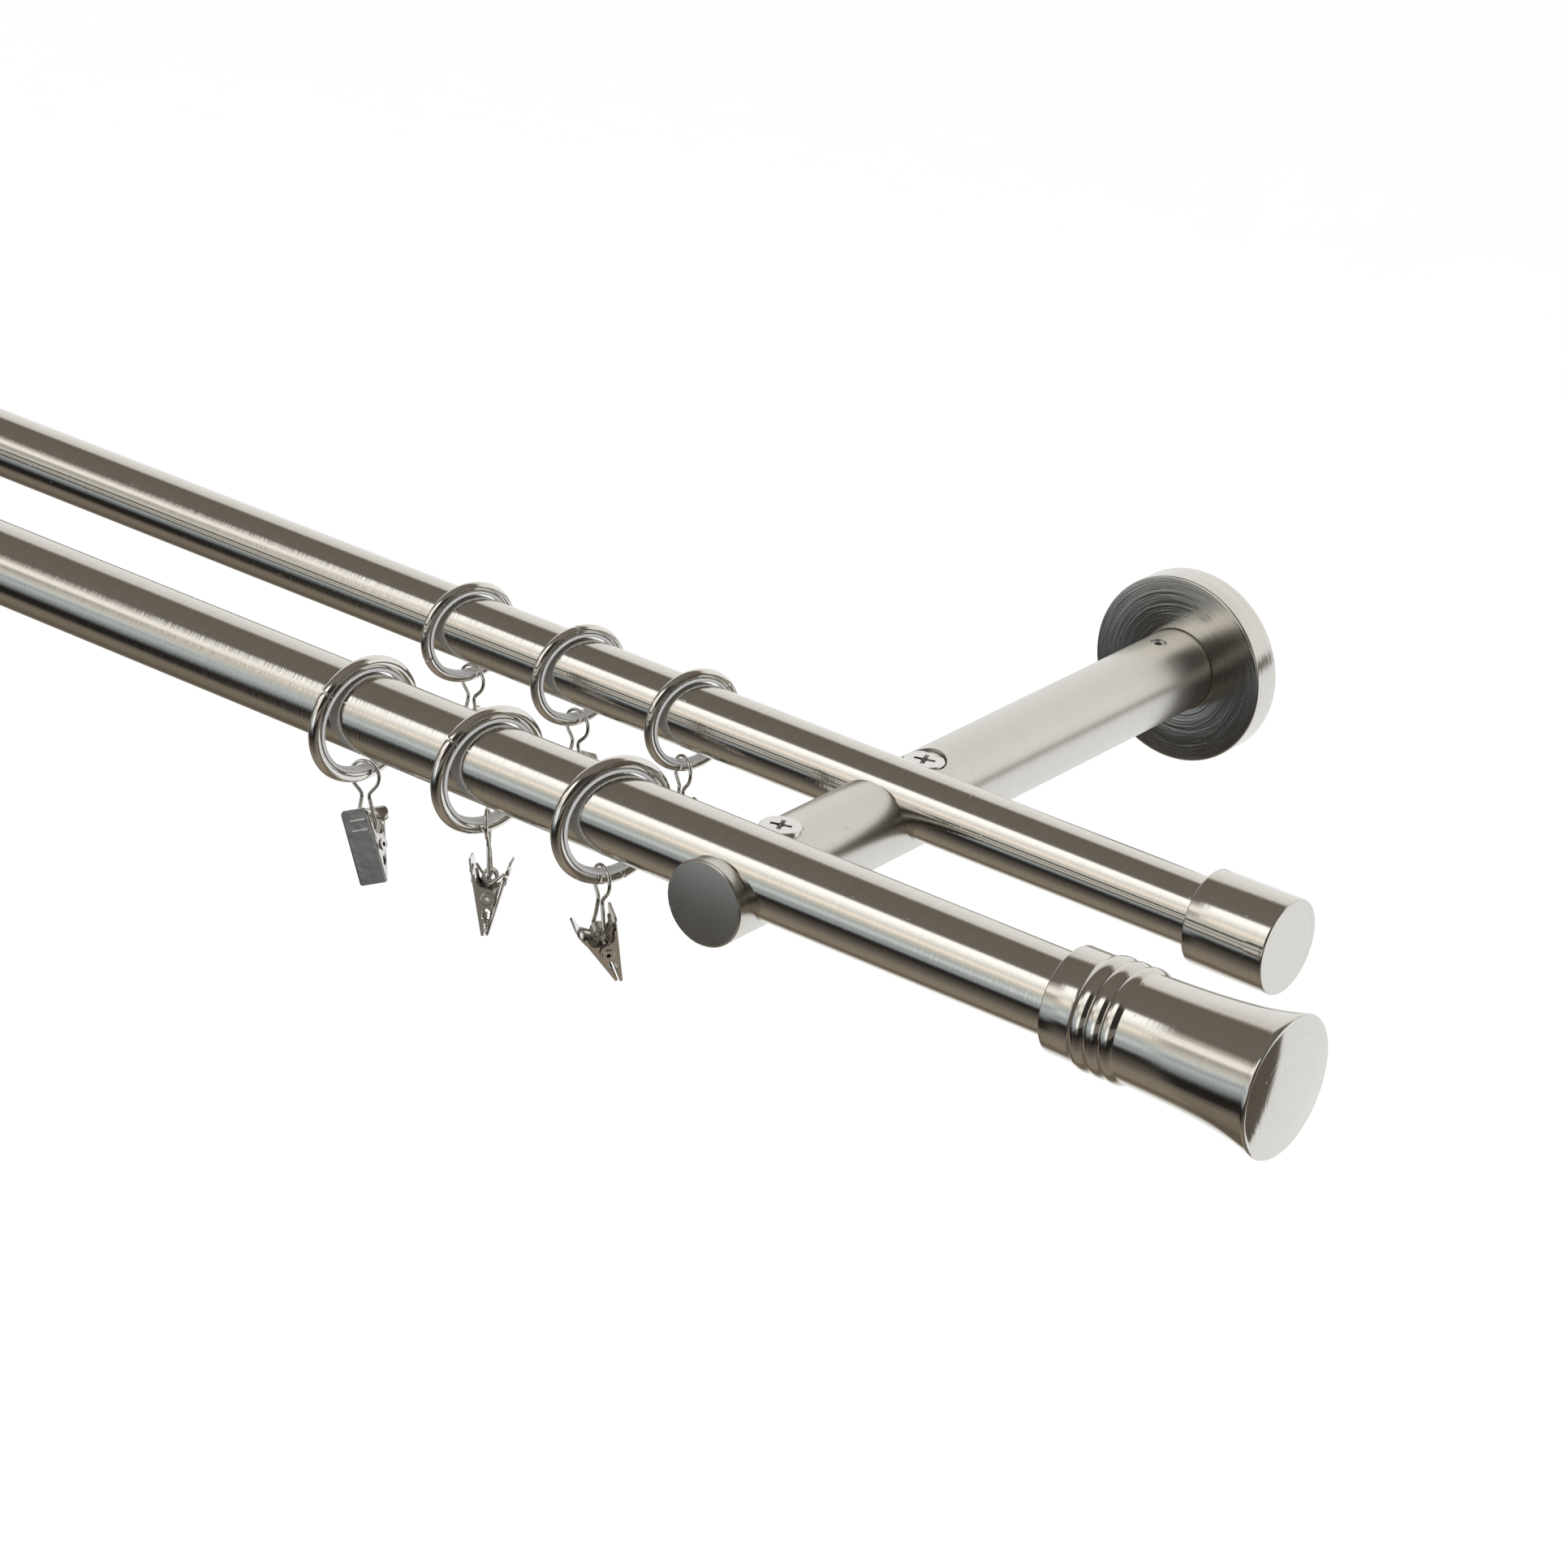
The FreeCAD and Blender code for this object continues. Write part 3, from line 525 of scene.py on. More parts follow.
# %% Poles
def stands_for(piece, node, body):
    """Let a new piece ride with a body and stand for the CAD node of the same place."""
    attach(piece, body)
    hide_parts(node)
    return piece


for pole, size in POLES.items():
    r = size["r"]
    x0, x1 = POLE_ENDS
    wall = rounded([(x0, r), (x1, r), (x1, r - 1.0 * MM), (x0, r - 1.0 * MM)], 0.15 * MM)
    tube = turned("tube_" + pole, wall, (0, size["y"], POLE_Z), (1, 0, 0), satin_pole, 256)
    stands_for(tube, pole + "_pole", "pole_set")

# %% [markdown]
# ## Finials and end caps
# The front pole ends in a turned finial: a collar, three beads, then a flare like a trumpet with a
# slightly domed face. The rear pole has a plain cap. One profile serves both ends, mirrored.

# %% Finials and end caps
def arc_points(a, b, c, steps):
    """Points on the circle through three (x, r) points, from a over b to c."""
    (ax, ay), (bx, by), (cx, cy) = a, b, c
    d = 2.0 * (ax * (by - cy) + bx * (cy - ay) + cx * (ay - by))
    ux = ((ax**2 + ay**2) * (by - cy) + (bx**2 + by**2) * (cy - ay) + (cx**2 + cy**2) * (ay - by)) / d
    uy = ((ax**2 + ay**2) * (cx - bx) + (bx**2 + by**2) * (ax - cx) + (cx**2 + cy**2) * (bx - ax)) / d
    start = math.atan2(ay - uy, ax - ux)
    turn = (math.atan2(cy - uy, cx - ux) - start + math.pi) % (2.0 * math.pi) - math.pi
    t = start + turn * np.linspace(0.0, 1.0, steps)
    radius = math.hypot(ax - ux, ay - uy)
    return np.stack([ux + radius * np.cos(t), uy + radius * np.sin(t)], axis=1)


def finial_profile():
    """Outer profile of the finial in millimetres from its open end, then back through its bore."""
    beads = 7.7
    flare = beads + 3 * 3.7
    grooves = (12.2, 12.35, 12.35, 12.1)
    parts = [arc_points((0, 11.6), (0.146, 11.954), (0.5, 12.1), 6), np.array([[7.05, 12.1], [7.2, 12.1]])]
    for i in range(3):
        x = beads + i * 3.7
        parts.append(arc_points((x, grooves[i]), (x + 1.85, 12.95), (x + 3.7, grooves[i + 1]), 14))
    t = np.linspace(0.0, 1.0, 40)[1:]
    spread = 0.2 * t + 0.35 * t**2 + 0.45 * t**4
    parts.append(np.stack([flare + (53.0 - flare) * t, 12.1 + 3.85 * spread], axis=1))
    parts.append(arc_points((53.0, 15.95), (53.28, 15.83), (53.4, 15.45), 6)[1:])
    dome = 1.2
    dome_r = (15.45**2 + dome**2) / (2.0 * dome)
    a = np.linspace(math.asin(15.45 / dome_r), 0.0, 24)[1:]
    parts.append(np.stack([54.6 - dome_r * (1.0 - np.cos(a)), dome_r * np.sin(a)], axis=1))
    return np.vstack(parts)


socket = 13.6
bore = 9.54
outside = finial_profile()
finial = np.vstack([[[socket, 0.0], [socket, bore], [0.0, bore]], outside]) * MM
cap_edge = rounded([(0.0, 8.04), (0.0, 10.95), (20.3, 10.95), (20.3, 4.0)], 0.45)[5:-5]
cap = np.vstack([[[14.8, 0.0], [14.8, 8.04], [0.0, 8.04]], cap_edge, [[20.3, 0.0]]]) * MM
for side, sign in (("right", 1.0), ("left", -1.0)):
    end_x = MID_X + sign * (POLE_ENDS[1] - MID_X)
    for name, node, profile, depth, y in (
            ("finial_", "front_finial_", finial, socket * MM, FRONT_Y),
            ("end_cap_", "rear_end_cap_", cap, 14.8 * MM, REAR_Y)):
        place = np.array([end_x - sign * depth, y, POLE_Z])
        piece = turned(name + side, profile, place, (sign, 0, 0), satin_turned, 192)
        stands_for(piece, node + side, "pole_set")

# %% [markdown]
# ## Bracket
# The arm is one bar with saddles milled into it, so its exact edges come from the CAD solid: a
# copy of the mesh is merged and its edges get a tiny bevel that catches the light. The same is done
# to the screws here, and later to the folded jaws. The wall cover is a turned dish.

# %% Bracket pieces
def soften_sheet(work, bend, swell):
    """Round the outside of the folds and the tops of the pressed ribs of a sheet part.

    A fold is a long outward edge between two big flats, wider than the sheet is thick. A rib's top
    is a small flat with a rounded outline.
    """
    square = MM * MM
    folds = [edge for edge in work.edges if len(edge.link_faces) == 2 and edge.is_convex
             and edge.calc_length() > 4.0 * MM and edge.calc_face_angle() > 1.2
             and min(face.calc_area() for face in edge.link_faces) > 14.0 * square]
    bmesh.ops.bevel(work, geom=folds, offset=bend, offset_type="OFFSET", segments=5, profile=0.5,
                    affect="EDGES", clamp_overlap=False)
    tops = [face for face in work.faces
            if len(face.verts) > 12 and 2.0 * square < face.calc_area() < 5.0 * square]
    rims = list({edge for face in tops for edge in face.edges})
    bmesh.ops.bevel(work, geom=rims, offset=swell, offset_type="OFFSET", segments=3, profile=0.5,
                    affect="EDGES", clamp_overlap=True)
    return len(folds), len(tops)


def bevelled_copy(node, name, body, material, width, angle=35.0, sheet=None):
    """Copy of a CAD node with merged points and softened edges."""
    source = frame["nodes"][node]
    mesh = source.data.copy()
    mesh.name = name
    work = bmesh.new()
    work.from_mesh(mesh)
    bmesh.ops.remove_doubles(work, verts=work.verts, dist=1e-6)
    bmesh.ops.dissolve_limit(work, angle_limit=math.radians(0.6), verts=work.verts, edges=work.edges)
    bmesh.ops.recalc_face_normals(work, faces=work.faces)
    if sheet:
        folds, ribs = soften_sheet(work, *sheet)
        print(name, "folds", folds, "ribs", ribs)
    work.to_mesh(mesh)
    work.free()
    mesh.materials.clear()
    mesh.materials.append(material)
    mesh.shade_smooth()
    piece = bpy.data.objects.new(name, mesh)
    bpy.context.scene.collection.objects.link(piece)
    edge = piece.modifiers.new("soft_edges", "BEVEL")
    edge.width = width
    edge.segments = 2
    edge.limit_method = "ANGLE"
    edge.angle_limit = math.radians(angle)
    flats = piece.modifiers.new("flat_faces", "WEIGHTED_NORMAL")
    flats.mode = "FACE_AREA_WITH_ANGLE"
    flats.weight = 100
    flats.keep_sharp = True
    return stands_for(piece, node, body)


def exact_normals(mesh, surfaces):
    """Turn the normals of corners on known cylinders to point straight from or to the axis.

    A facet counts as part of a cylinder when its corner lies within 0.15 mm of the radius and it
    faces along the radius. Everything else keeps the normal that Blender works out.
    """
    corner_count = len(mesh.loops)
    normals = np.empty(corner_count * 3, dtype=np.float32)
    mesh.corner_normals.foreach_get("vector", normals)
    normals = normals.reshape(-1, 3)
    at = np.empty(corner_count, dtype=np.int32)
    mesh.loops.foreach_get("vertex_index", at)
    points = np.empty(len(mesh.vertices) * 3, dtype=np.float32)
    mesh.vertices.foreach_get("co", points)
    points = points.reshape(-1, 3)[at]
    sizes = np.empty(len(mesh.polygons), dtype=np.int32)
    mesh.polygons.foreach_get("loop_total", sizes)
    facing = np.empty(len(mesh.polygons) * 3, dtype=np.float32)
    mesh.polygons.foreach_get("normal", facing)
    facing = np.repeat(facing.reshape(-1, 3), sizes, axis=0)
    for centre, axis, radius, sign in surfaces:
        axis = np.asarray(axis, dtype=float)
        away = points - np.asarray(centre)
        away = away - (away @ axis)[:, None] * axis
        distance = np.linalg.norm(away, axis=1)
        radial = sign * away / np.maximum(distance, 1e-9)[:, None]
        on_it = (np.abs(distance - radius) < 0.15 * MM) & (np.einsum("ij,ij->i", radial, facing) > 0.975)
        normals[on_it] = radial[on_it]
        print("cylinder of radius", round(radius * 1000.0, 2), "mm has", int(on_it.sum()), "corners")
    mesh.normals_split_custom_set(normals.tolist())


def arm_piece(side, x):
    """The bar of one bracket: the CAD solid's mesh with softened edges and exact round normals."""
    mesh = frame["nodes"]["bracket_arm_" + side].data.copy()
    mesh.name = "arm_" + side
    work = bmesh.new()
    work.from_mesh(mesh)
    bmesh.ops.remove_doubles(work, verts=work.verts, dist=1e-6)
    bmesh.ops.dissolve_limit(work, angle_limit=math.radians(0.6), verts=work.verts, edges=work.edges)
    bmesh.ops.recalc_face_normals(work, faces=work.faces)
    sharp = [e for e in work.edges if len(e.link_faces) == 2 and e.calc_face_angle() > math.radians(28.0)]
    # Finish 0 is the brushed bar, 1 its front end with a dark tint painted in for its dark reflection, 2 the
    # edges that the bevel makes
    for face in work.faces:
        in_front = face.normal.y < -0.999 and face.calc_center_median().y < ARM_END_Y + 0.1 * MM
        face.material_index = 1 if in_front else 0
    bmesh.ops.bevel(work, geom=sharp, offset=ARM_EDGE, offset_type="OFFSET", segments=3, profile=0.5,
                    affect="EDGES", clamp_overlap=True, material=2)
    work.to_mesh(mesh)
    work.free()
    mesh.materials.clear()
    for material in (satin_arm, end_face_painted_dark, polished_nickel):
        mesh.materials.append(material)
    mesh.shade_smooth()
    mesh.set_sharp_from_angle(angle=math.radians(35.0))
    saddles = [((x, size["y"], POLE_Z), (1, 0, 0), size["r"] + SADDLE_FIT, -1.0) for size in POLES.values()]
    exact_normals(mesh, [((x, 0, 0), (0, 1, 0), ARM_R, 1.0)] + saddles)
    piece = bpy.data.objects.new("arm_" + side, mesh)
    bpy.context.scene.collection.objects.link(piece)
    return stands_for(piece, "bracket_arm_" + side, "pole_set")


cover_bore = 10.04
inside_r, inside_x = COVER_R - COVER_WALL, COVER_WALL - COVER_DEPTH
cover_profile = rounded([(-COVER_DEPTH, cover_bore), (-COVER_DEPTH, COVER_R), (0.0, COVER_R), (0.0, inside_r),
                         (inside_x, inside_r), (inside_x, cover_bore)], 0.5)
for side, x in (("right", 0.0), ("left", LEFT_X)):
    arm_piece(side, x)
    bevelled_copy("clamp_screws_" + side, "saddle_screws_" + side, "pole_set",
                  screw_nickel, 0.08 * MM)
    cover = turned("cover_" + side, cover_profile * MM, (x, 0, 0), (0, 1, 0), satin_cover, 192)
    stands_for(cover, "wall_cover_" + side, "pole_set")
    for hidden in ("grub_screw_", "wall_plate_"):
        frame["nodes"][hidden + side].data.materials[0] = zinc_steel

# %% [markdown]
# ## Rings and liners
# A ring is one thick wire bent to a circle, its ends butted with a hair of a gap. The liner is a
# shallow channel turned round the same axis, whose lips hold the wire.

# %% Rings and liners
for name, (ring_place, *_) in places.items():
    size = POLES[name.split("_")[0]]
    gap = RING_JOINT / size["mean"]
    t = math.radians(HANGERS[name][1]) + np.linspace(0.0, 2.0 * math.pi - gap, 193)
    path = np.stack([0.0 * t, size["mean"] * np.cos(t), size["mean"] * np.sin(t)], axis=1)
    vertices, faces = bent_wire(path, (1, 0, 0), size["wire"] / 2.0, 40)
    ring = piece_from("wire_ring_" + name, moved_points(vertices, ring_place), faces, polished_nickel)
    stands_for(ring, "ring_" + name, "ring_" + name)
    h = LINER_HALF
    floor_r = size["mean"] - size["wire"] / 2.0 - LINER_FIT
    lip_r = floor_r + LINER_LIP
    channel = [(-h, size["bore"]), (h, size["bore"]), (h, lip_r), (h - 0.2 * MM, lip_r),
               (h - 0.35 * MM, floor_r), (-h + 0.35 * MM, floor_r), (-h + 0.2 * MM, lip_r), (-h, lip_r)]
    lining = turned("clear_liner_" + name, rounded(channel, 0.25 * MM), (0, 0, 0), (1, 0, 0), clear_liner,
                    160, ring_place)
    stands_for(lining, "ring_liner_" + name, "ring_" + name)

# %% [markdown]
# ## Wire loops
# The loop is bent from one wire: a round eye that hangs in the ring, a narrow neck, and two legs
# that spread to the coil of the clip and turn inwards into it. A smooth curve through its bends is
# the path that the wire follows.

# %% Wire loops
def smooth_path(points, per_run):
    """Natural cubic spline through points, measured along their chords.

    The second derivatives solve one linear system; each run is then a cubic between its ends.
    """
    p = np.asarray(points, dtype=float)
    s = np.concatenate([[0.0], np.cumsum(np.linalg.norm(np.diff(p, axis=0), axis=1))])
    h = np.diff(s)
    n = len(p)
    system = np.eye(n)
    known = np.zeros_like(p)
    k = np.arange(1, n - 1)
    system[k, k - 1] = h[:-1]
    system[k, k] = 2.0 * (h[:-1] + h[1:])
    system[k, k + 1] = h[1:]
    slope = np.diff(p, axis=0) / h[:, None]
    known[1:-1] = 6.0 * np.diff(slope, axis=0)
    m = np.linalg.solve(system, known)
    u = np.linspace(0.0, 1.0, per_run, endpoint=False)[None, :, None]
    a, b, w = p[:-1, None], p[1:, None], h[:, None, None]
    ma, mb = m[:-1, None], m[1:, None]
    runs = a * (1 - u) + b * u - w**2 * u * (1 - u) * (ma * (2 - u) + mb * (1 + u)) / 6.0
    return np.vstack([runs.reshape(-1, p.shape[1]), p[-1:]])


def loop_path():
    """Points of the bent wire in its own X-Z plane, in millimetres, eye centre at the origin."""
    a = np.radians(67.0 - 22.6 * np.arange(6))
    eye = np.stack([3.6 * np.cos(a), 3.6 * np.sin(a)], axis=1)
    neck = np.array([(0.62, 1.35), (0.12, 0.6), (0.0, -0.1), (0.15, -1.0)]) + (0.95, -4.9)
    foot = np.array([(2.15, 2.2), (2.45, 0.55), (2.289, 0.161), (1.9, 0.0), (1.0, 0.0)]) + (0.0, -12.4)
    half = np.vstack([eye, neck, foot])
    whole = np.vstack([half[::-1] * (-1, 1), [[0.0, 3.6]], half])
    flat = smooth_path(whole, 7)
    return np.stack([flat[:, 0], 0.0 * flat[:, 0], flat[:, 1]], axis=1) * MM


loop_wire = bent_wire(loop_path(), (0, 1, 0), LOOP_WIRE_R, 20)

# %% [markdown]
# ## Springs and rivets
# The coil is a helix about the rivet's direction with a straight leg towards each handle. The rivet
# is a short tube whose ends are rolled over into rings.

# %% Springs and rivets
def spring_path(mean=1.50, half=1.65, turns_whole=4, outer_end=(-3.5, 2.2), inner_end=(3.3, 1.18)):
    """Leg, helix and leg in millimetres, coil centre at the origin and its axis along X.

    Each leg is the tangent from its end to the circle of the coil, so the wire has no kink. On the
    coil the angle grows evenly with the place along X.
    """
    leave = []
    for (y, z), side in ((outer_end, 1.0), (inner_end, -1.0)):
        leave.append((math.atan2(z, y) + side * math.acos(mean / math.hypot(y, z))) % (2.0 * math.pi))
    angle = np.linspace(leave[0], leave[1] + 2.0 * math.pi * turns_whole, 200)
    x = np.linspace(-half, half, 200)
    coil = np.stack([x, mean * np.cos(angle), mean * np.sin(angle)], axis=1)
    u = np.linspace(0.0, 1.0, 12, endpoint=False)[:, None]
    first = (1 - u) * np.array([-half, *outer_end]) + u * coil[0]
    last = coil[-1] * u[::-1] + (1 - u[::-1]) * np.array([half, *inner_end])
    return np.vstack([first, coil, last]) * MM


spring_coil = bent_wire(spring_path(), (1, 0, 0), 0.33 * MM, 16)
rivet_half = 3.6 + 0.05
rivet_end = rivet_half + 0.3
bore_r, shank_r, head_r = 0.5, 0.95, 1.45
rivet_corners = [(-rivet_end, bore_r), (-rivet_end, head_r), (-rivet_half, head_r), (-rivet_half, shank_r),
                 (rivet_half, shank_r), (rivet_half, head_r), (rivet_end, head_r), (rivet_end, bore_r)]
rivet_profile = rounded(rivet_corners, 0.14) * MM
# Two points on the inner leg, between the clip and the inner jaw
leg_turns_over = np.array([[0.0, 1.8, 0.64], [0.0, 3.2, 1.14]]) * MM

for name, (_, loop_place, coil_place, clip_place) in places.items():
    vertices, faces = loop_wire
    loop = piece_from("loop_wire_" + name, moved_points(vertices, loop_place), faces, polished_nickel)
    stands_for(loop, "clip_loop_" + name, "loop_" + name)
    rivet = turned("rivet_" + name, rivet_profile, (0, 0, 0), (1, 0, 0), polished_nickel, 48, clip_place)
    stands_for(rivet, "clip_rivet_" + name, "clip_" + name)
    for jaw, body in (("outer", "clip_"), ("inner", "jaw_")):
        bevelled_copy("clip_" + jaw + "_jaw_" + name, jaw + "_jaw_" + name, body + name,
                      clip_nickel, JAW_EDGE, sheet=(JAW_FOLD, RIB_EDGE))
    vertices, faces = spring_coil
    spring = piece_from("coil_spring_" + name, moved_points(vertices, coil_place), faces, spring_wire)
    start, end = (tuple(map(float, point)) for point in moved_points(leg_turns_over, coil_place))
    "clip_" + name
    "jaw_" + name
    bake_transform(spring)
    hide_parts("clip_spring_" + name)

# %% [markdown]
# ## Studio
# The floor is pale and far below, so the object stands out against white. Metal shows what is
# round it: a white sweep behind and below, a big soft lamp high in front on the left, a cooler
# window light at eye level, and the dark room behind the camera. Only reflections see that room;
# the floor and the liners get plain soft light.

# %% Floor, lamps and the room that the metal reflects
def stage_sheet(name, corners, paint):
    """A flat sheet that is part of the studio."""
    mesh = bpy.data.meshes.new(name)
    mesh.from_pydata(corners, [], [[0, 1, 2, 3]])
    mesh.materials.append(paint)
    sheet = bpy.data.objects.new(name, mesh)
    bpy.context.scene.collection.objects.link(sheet)
    return sheet


FLOOR_Z = -0.42
FLOOR_HALF = 6.0
paper = bpy.data.materials.new("floor_paper")
g = Graph(paper)
ray = g.node("LightPath", output="Is Camera Ray")
grain = g.noise(g.place((1.0, 1.0, 1.0)), 30.0, 3.0, 0.5)
lit = g.node("BsdfDiffuse", None, {"Color": g.blend(grain, (0.44, 0.44, 0.44, 1.0), (0.46, 0.46, 0.46, 1.0))})
glow = g.node("Emission", None, {"Color": (1.0, 1.0, 1.0, 1.0), "Strength": ray * 0.54})
g.node("OutputMaterial", None, {"Surface": g.node("AddShader", None, {0: lit, 1: glow})})
floor = stage_sheet("floor", [(x * FLOOR_HALF, y * FLOOR_HALF, FLOOR_Z)
                              for x, y in ((-1, -1), (1, -1), (1, 1), (-1, 1))], paper)
floor.visible_glossy = False

# A dark card beside the finial, seen only in its face: a photographer's way to shape a flat face
card_paint = bpy.data.materials.new("card_paint")
g = Graph(card_paint)
dark = g.node("Emission", None, {"Color": (0.13, 0.11, 0.09, 1.0), "Strength": 1.0})
g.node("OutputMaterial", None, {"Surface": dark})
near = np.array([0.2875, -0.0075])
far = near + 0.3 * np.array([0.6, -0.8])
card = stage_sheet("dark_card", [(*near, -0.35), (*far, -0.35), (*far, 0.25), (*near, 0.25)], card_paint)
card.visible_camera = False
card.visible_diffuse = False
card.visible_shadow = False
card.visible_transmission = False

world = bpy.data.worlds.new("studio")
bpy.context.scene.world = world
g = Graph(world)
direction = g.node("TexCoord", output="Generated")
split = g.tree.nodes.new("ShaderNodeSeparateXYZ")
g.tree.links.new(direction.socket, split.inputs[0])
up = Value(g.tree, split.outputs["Z"])
backwards = Value(g.tree, split.outputs["Y"])
ahead = backwards * -1.0
# Angle round the X axis: 0 level towards the front, 0.25 straight up, 0.5 level towards the wall
turn = up.math("ARCTAN2", ahead) / (2.0 * math.pi) + 0.5
# Right part: dark floor edge, dark front wall, window light, the big lamp, dark ceiling, white sweep
ROOM = (
    (-180, (1.00, 1.00, 1.00)), (-130, (1.00, 1.00, 0.99)), (-116, (0.82, 0.80, 0.76)),
    (-108, (0.36, 0.32, 0.27)), (-102, (0.19, 0.16, 0.12)), (-92, (0.20, 0.165, 0.12)),
    (-84, (0.31, 0.26, 0.20)), (-66, (0.29, 0.25, 0.20)), (-50, (0.16, 0.14, 0.12)),
    (-38, (0.08, 0.07, 0.06)), (-29, (0.025, 0.022, 0.02)), (-23, (0.05, 0.05, 0.05)),
    (-19, (0.33, 0.36, 0.37)), (-10, (0.44, 0.48, 0.49)), (-3, (0.76, 0.82, 0.83)), (6, (0.56, 0.60, 0.58)),
    (14, (0.80, 0.76, 0.68)), (21, (1.30, 1.16, 1.02)), (29, (0.98, 0.95, 0.90)), (37, (1.36, 1.32, 1.26)),
    (46, (1.65, 1.62, 1.58)), (52, (1.45, 1.42, 1.38)), (56, (0.34, 0.31, 0.28)), (60, (0.20, 0.18, 0.155)),
    (116, (0.18, 0.16, 0.135)), (121, (0.45, 0.42, 0.38)), (125, (0.85, 0.81, 0.76)),
    (134, (0.93, 0.90, 0.86)), (150, (1.02, 1.00, 0.97)), (180, (1.00, 1.00, 1.00)),
)
# Left part: the same things further off, so the lamp is narrower and the dark wall reaches lower
LEFT_ROOM = (
    (-180, (1.00, 1.00, 1.00)), (-150, (0.92, 0.91, 0.89)), (-136, (0.60, 0.57, 0.53)),
    (-124, (0.22, 0.19, 0.155)), (-112, (0.155, 0.13, 0.10)), (-96, (0.15, 0.125, 0.095)),
    (-86, (0.22, 0.185, 0.14)), (-66, (0.25, 0.21, 0.165)), (-57, (0.15, 0.13, 0.11)),
    (-50, (0.03, 0.026, 0.022)), (-36, (0.02, 0.018, 0.016)), (-31, (0.06, 0.06, 0.06)),
    (-26, (0.20, 0.22, 0.23)), (-18, (0.38, 0.42, 0.44)), (-9, (0.58, 0.64, 0.66)), (-2, (0.46, 0.50, 0.51)),
    (6, (0.80, 0.82, 0.80)), (14, (0.72, 0.69, 0.63)), (22, (0.50, 0.47, 0.43)), (27, (0.80, 0.75, 0.69)),
    (30, (1.30, 1.22, 1.14)), (38, (1.15, 1.10, 1.05)), (43, (0.70, 0.66, 0.61)), (49, (0.40, 0.37, 0.33)),
    (53, (0.20, 0.18, 0.155)), (116, (0.18, 0.16, 0.135)), (121, (0.45, 0.42, 0.38)),
    (125, (0.82, 0.78, 0.73)), (150, (0.98, 0.96, 0.93)), (180, (1.00, 1.00, 1.00)),
)
# Behind the camera the room is dark but for a dim wall at eye level, above a pale floor
CAMERA_SIDE = tuple(stop for stop in ROOM if stop[0] < -36) + (
    (-30, (0.02, 0.018, 0.016)), (-14, (0.03, 0.027, 0.024)), (-9, (0.22, 0.20, 0.175)),
    (4, (0.24, 0.22, 0.19)), (10, (0.035, 0.03, 0.027)), (50, (0.05, 0.045, 0.04)),
) + tuple(stop for stop in ROOM if stop[0] > 58)
# Straight ahead the window light reaches lower: it silvers the first clip and streaks the cover
WINDOW = (
    (-180, (0.02, 0.02, 0.02)), (-26, (0.04, 0.045, 0.05)), (-19, (0.13, 0.14, 0.145)),
    (-15, (0.26, 0.28, 0.285)), (-11, (1.20, 1.24, 1.25)), (4, (1.45, 1.45, 1.42)),
    (12, (0.75, 0.74, 0.70)), (24, (1.20, 1.15, 1.10)), (180, (0.02, 0.02, 0.02)),
)
sideways = Value(g.tree, split.outputs["X"])
degrees = (turn - 0.5) * 360.0
room = g.blend(sideways.smooth(-0.55, -0.51), g.ramp(turn, LEFT_ROOM), g.ramp(turn, ROOM))
room = g.blend(sideways.smooth(0.02, 0.16), room, g.ramp(turn, CAMERA_SIDE))
across = sideways.smooth(-0.34, -0.26) * (1.0 - sideways.smooth(-0.02, 0.08))
upwards = degrees.smooth(-28.0, -24.0) * (1.0 - degrees.smooth(14.0, 22.0))
room = g.blend(across * upwards, room, g.ramp(turn, WINDOW))
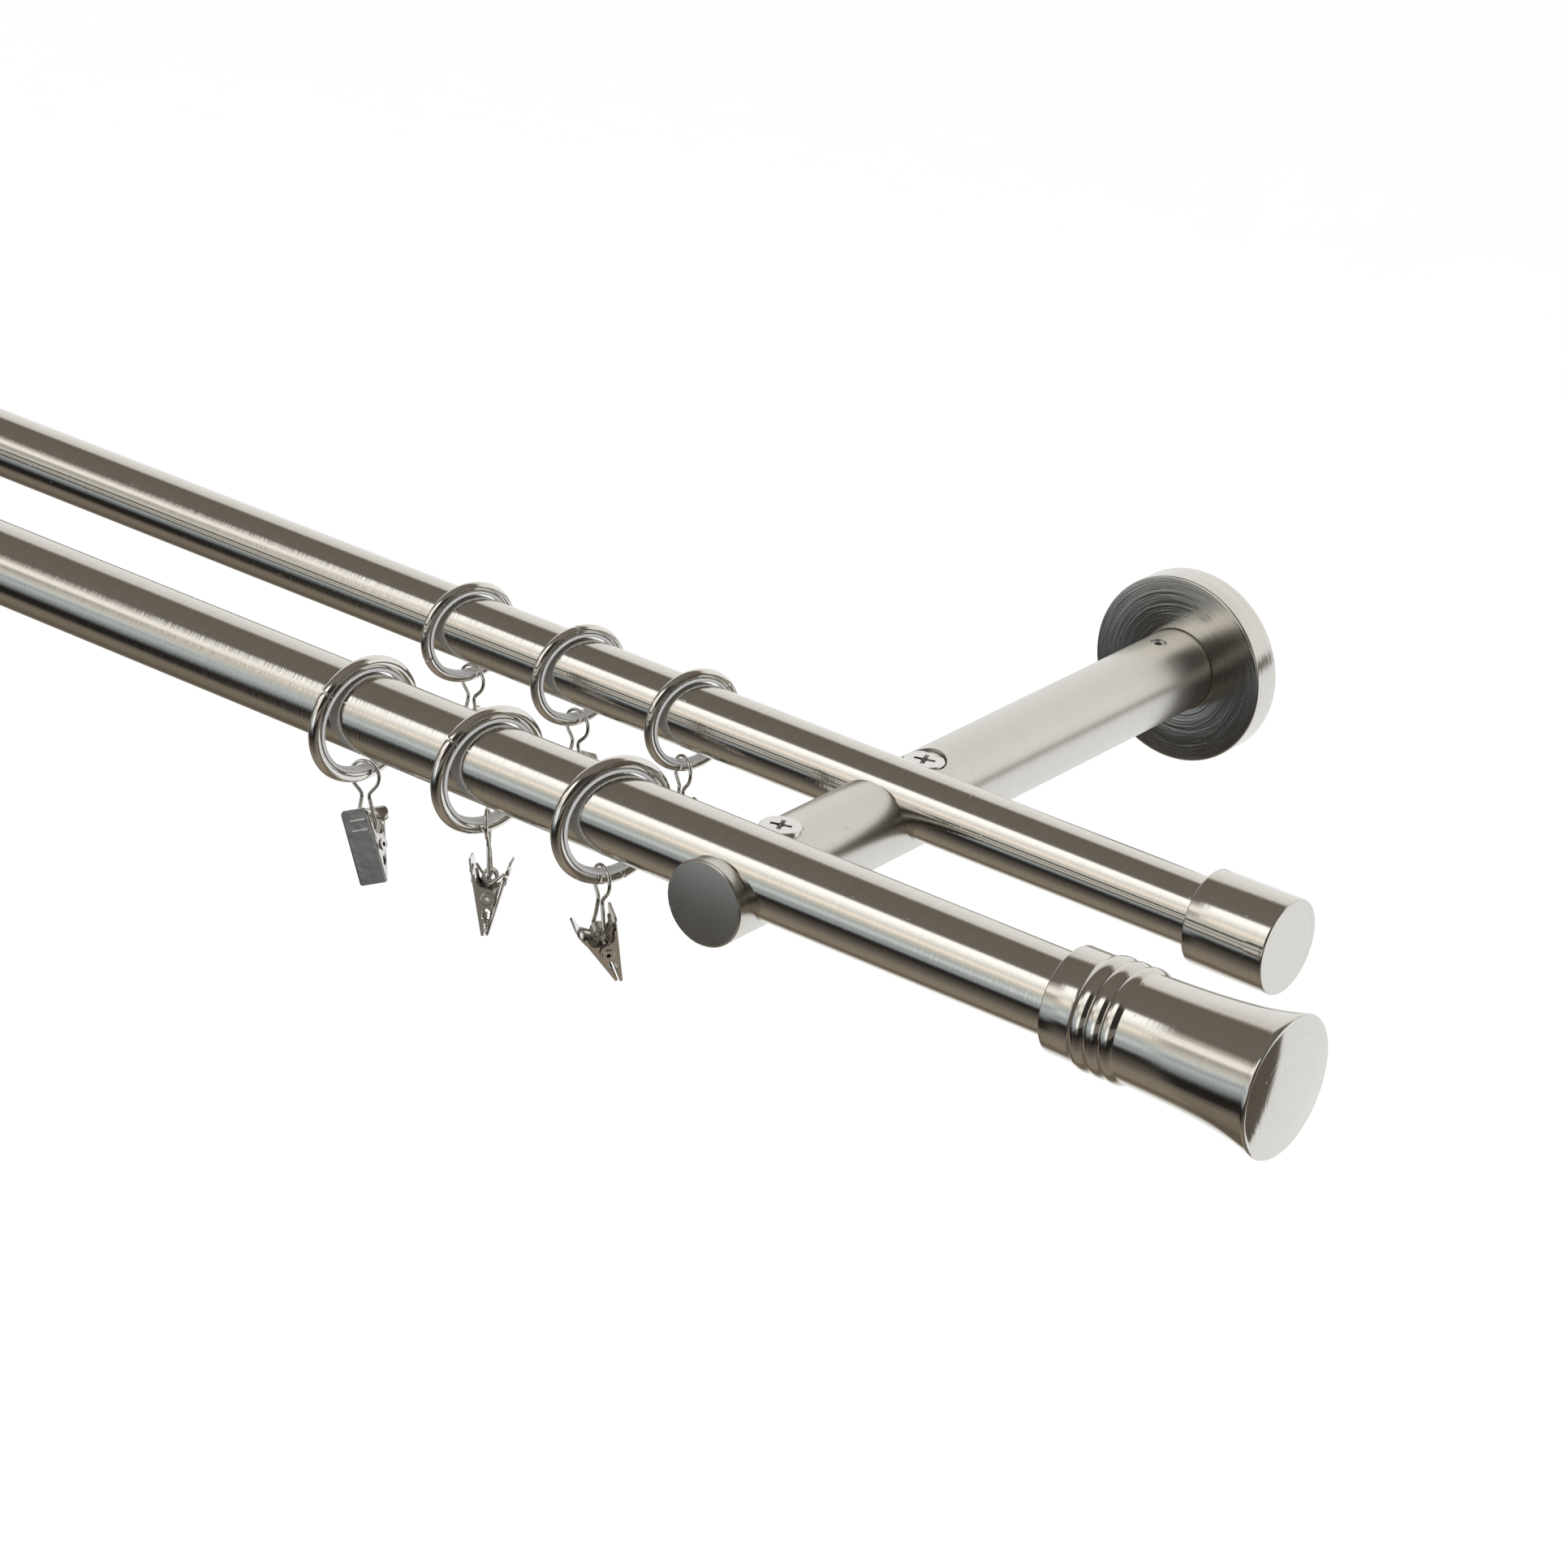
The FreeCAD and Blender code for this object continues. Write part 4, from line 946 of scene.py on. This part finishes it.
# Far to the right the sweep stands on a dim edge at eye level, the soft line along the arms
level = 1.0 - up.math("ABSOLUTE").smooth(0.05, 0.10)
skirting = sideways.smooth(0.46, 0.54) * level * backwards.smooth(0.2, 0.3)
room = g.blend(skirting, room, (0.16, 0.13, 0.10, 1.0))
left_end = (1.0 - sideways.smooth(-0.92, -0.82)) * (1.0 - degrees.math("ABSOLUTE").smooth(88.0, 100.0))
room = g.blend(left_end, room, (0.14, 0.12, 0.10, 1.0))
mirror_ray = g.node("LightPath", output="Is Glossy Ray")
camera_ray = g.node("LightPath", output="Is Camera Ray")
soft = g.blend(camera_ray, (0.90, 0.90, 0.90, 1.0), (1.0, 1.0, 1.0, 1.0))
light = g.node("Background", None, {"Color": g.blend(mirror_ray, soft, room)})
g.node("OutputWorld", None, {"Surface": light})


def soft_lamp(name, place, target, width, depth, power, colour):
    """Rectangular lamp that lights matt surfaces and is not seen in the metal."""
    data = bpy.data.lights.new(name, "AREA")
    data.shape = "RECTANGLE"
    data.size = width
    data.size_y = depth
    data.energy = power
    data.color = colour
    lamp = bpy.data.objects.new(name, data)
    bpy.context.scene.collection.objects.link(lamp)
    lamp.location = place
    lamp.rotation_euler = (Vector(target) - Vector(place)).to_track_quat("-Z", "Y").to_euler()
    lamp.visible_glossy = False
    return lamp


aim = (-0.05, -0.15, 0.0)
soft_lamp("key_lamp", (-0.9, -1.3, 1.1), aim, 1.2, 0.8, 12.0, (1.0, 0.97, 0.93))
soft_lamp("top_lamp", (0.1, 0.1, 1.8), aim, 1.6, 1.6, 8.0, (1.0, 1.0, 1.0))

# %% [markdown]
# ## Camera
# The photograph was taken from the right, from above, with a long lens held slightly turned. The
# angles and the lens were worked out from the outlines of the poles, the rings and the cover.

# %% Camera at the photograph's angle
azimuth, elevation, roll = (math.radians(a) for a in (34.918, 24.719, 5.357))
level_back = math.cos(elevation)
back = Vector((math.sin(azimuth) * level_back, -math.cos(azimuth) * level_back, math.sin(elevation)))
level_right = Vector((math.cos(azimuth), math.sin(azimuth), 0.0))
level_up = back.cross(level_right)
right = math.cos(roll) * level_right + math.sin(roll) * level_up
above = math.cos(roll) * level_up - math.sin(roll) * level_right
look_at = Vector((9.1, -181.0, 27.6)) * MM
camera_data = bpy.data.cameras.new("camera")
camera_data.sensor_width = 36.0
camera_data.sensor_fit = "HORIZONTAL"
camera_data.lens = 36.0 * 6580.7 / 1932.0
camera_data.clip_end = 50.0
camera = bpy.data.objects.new("camera", camera_data)
turn_to = Matrix((right, above, back)).transposed().to_4x4()
camera.matrix_world = Matrix.Translation(look_at + back * 1141.4 * MM) @ turn_to
bpy.context.scene.collection.objects.link(camera)
bpy.context.scene.camera = camera
bpy.context.scene.view_settings.view_transform = "Standard"
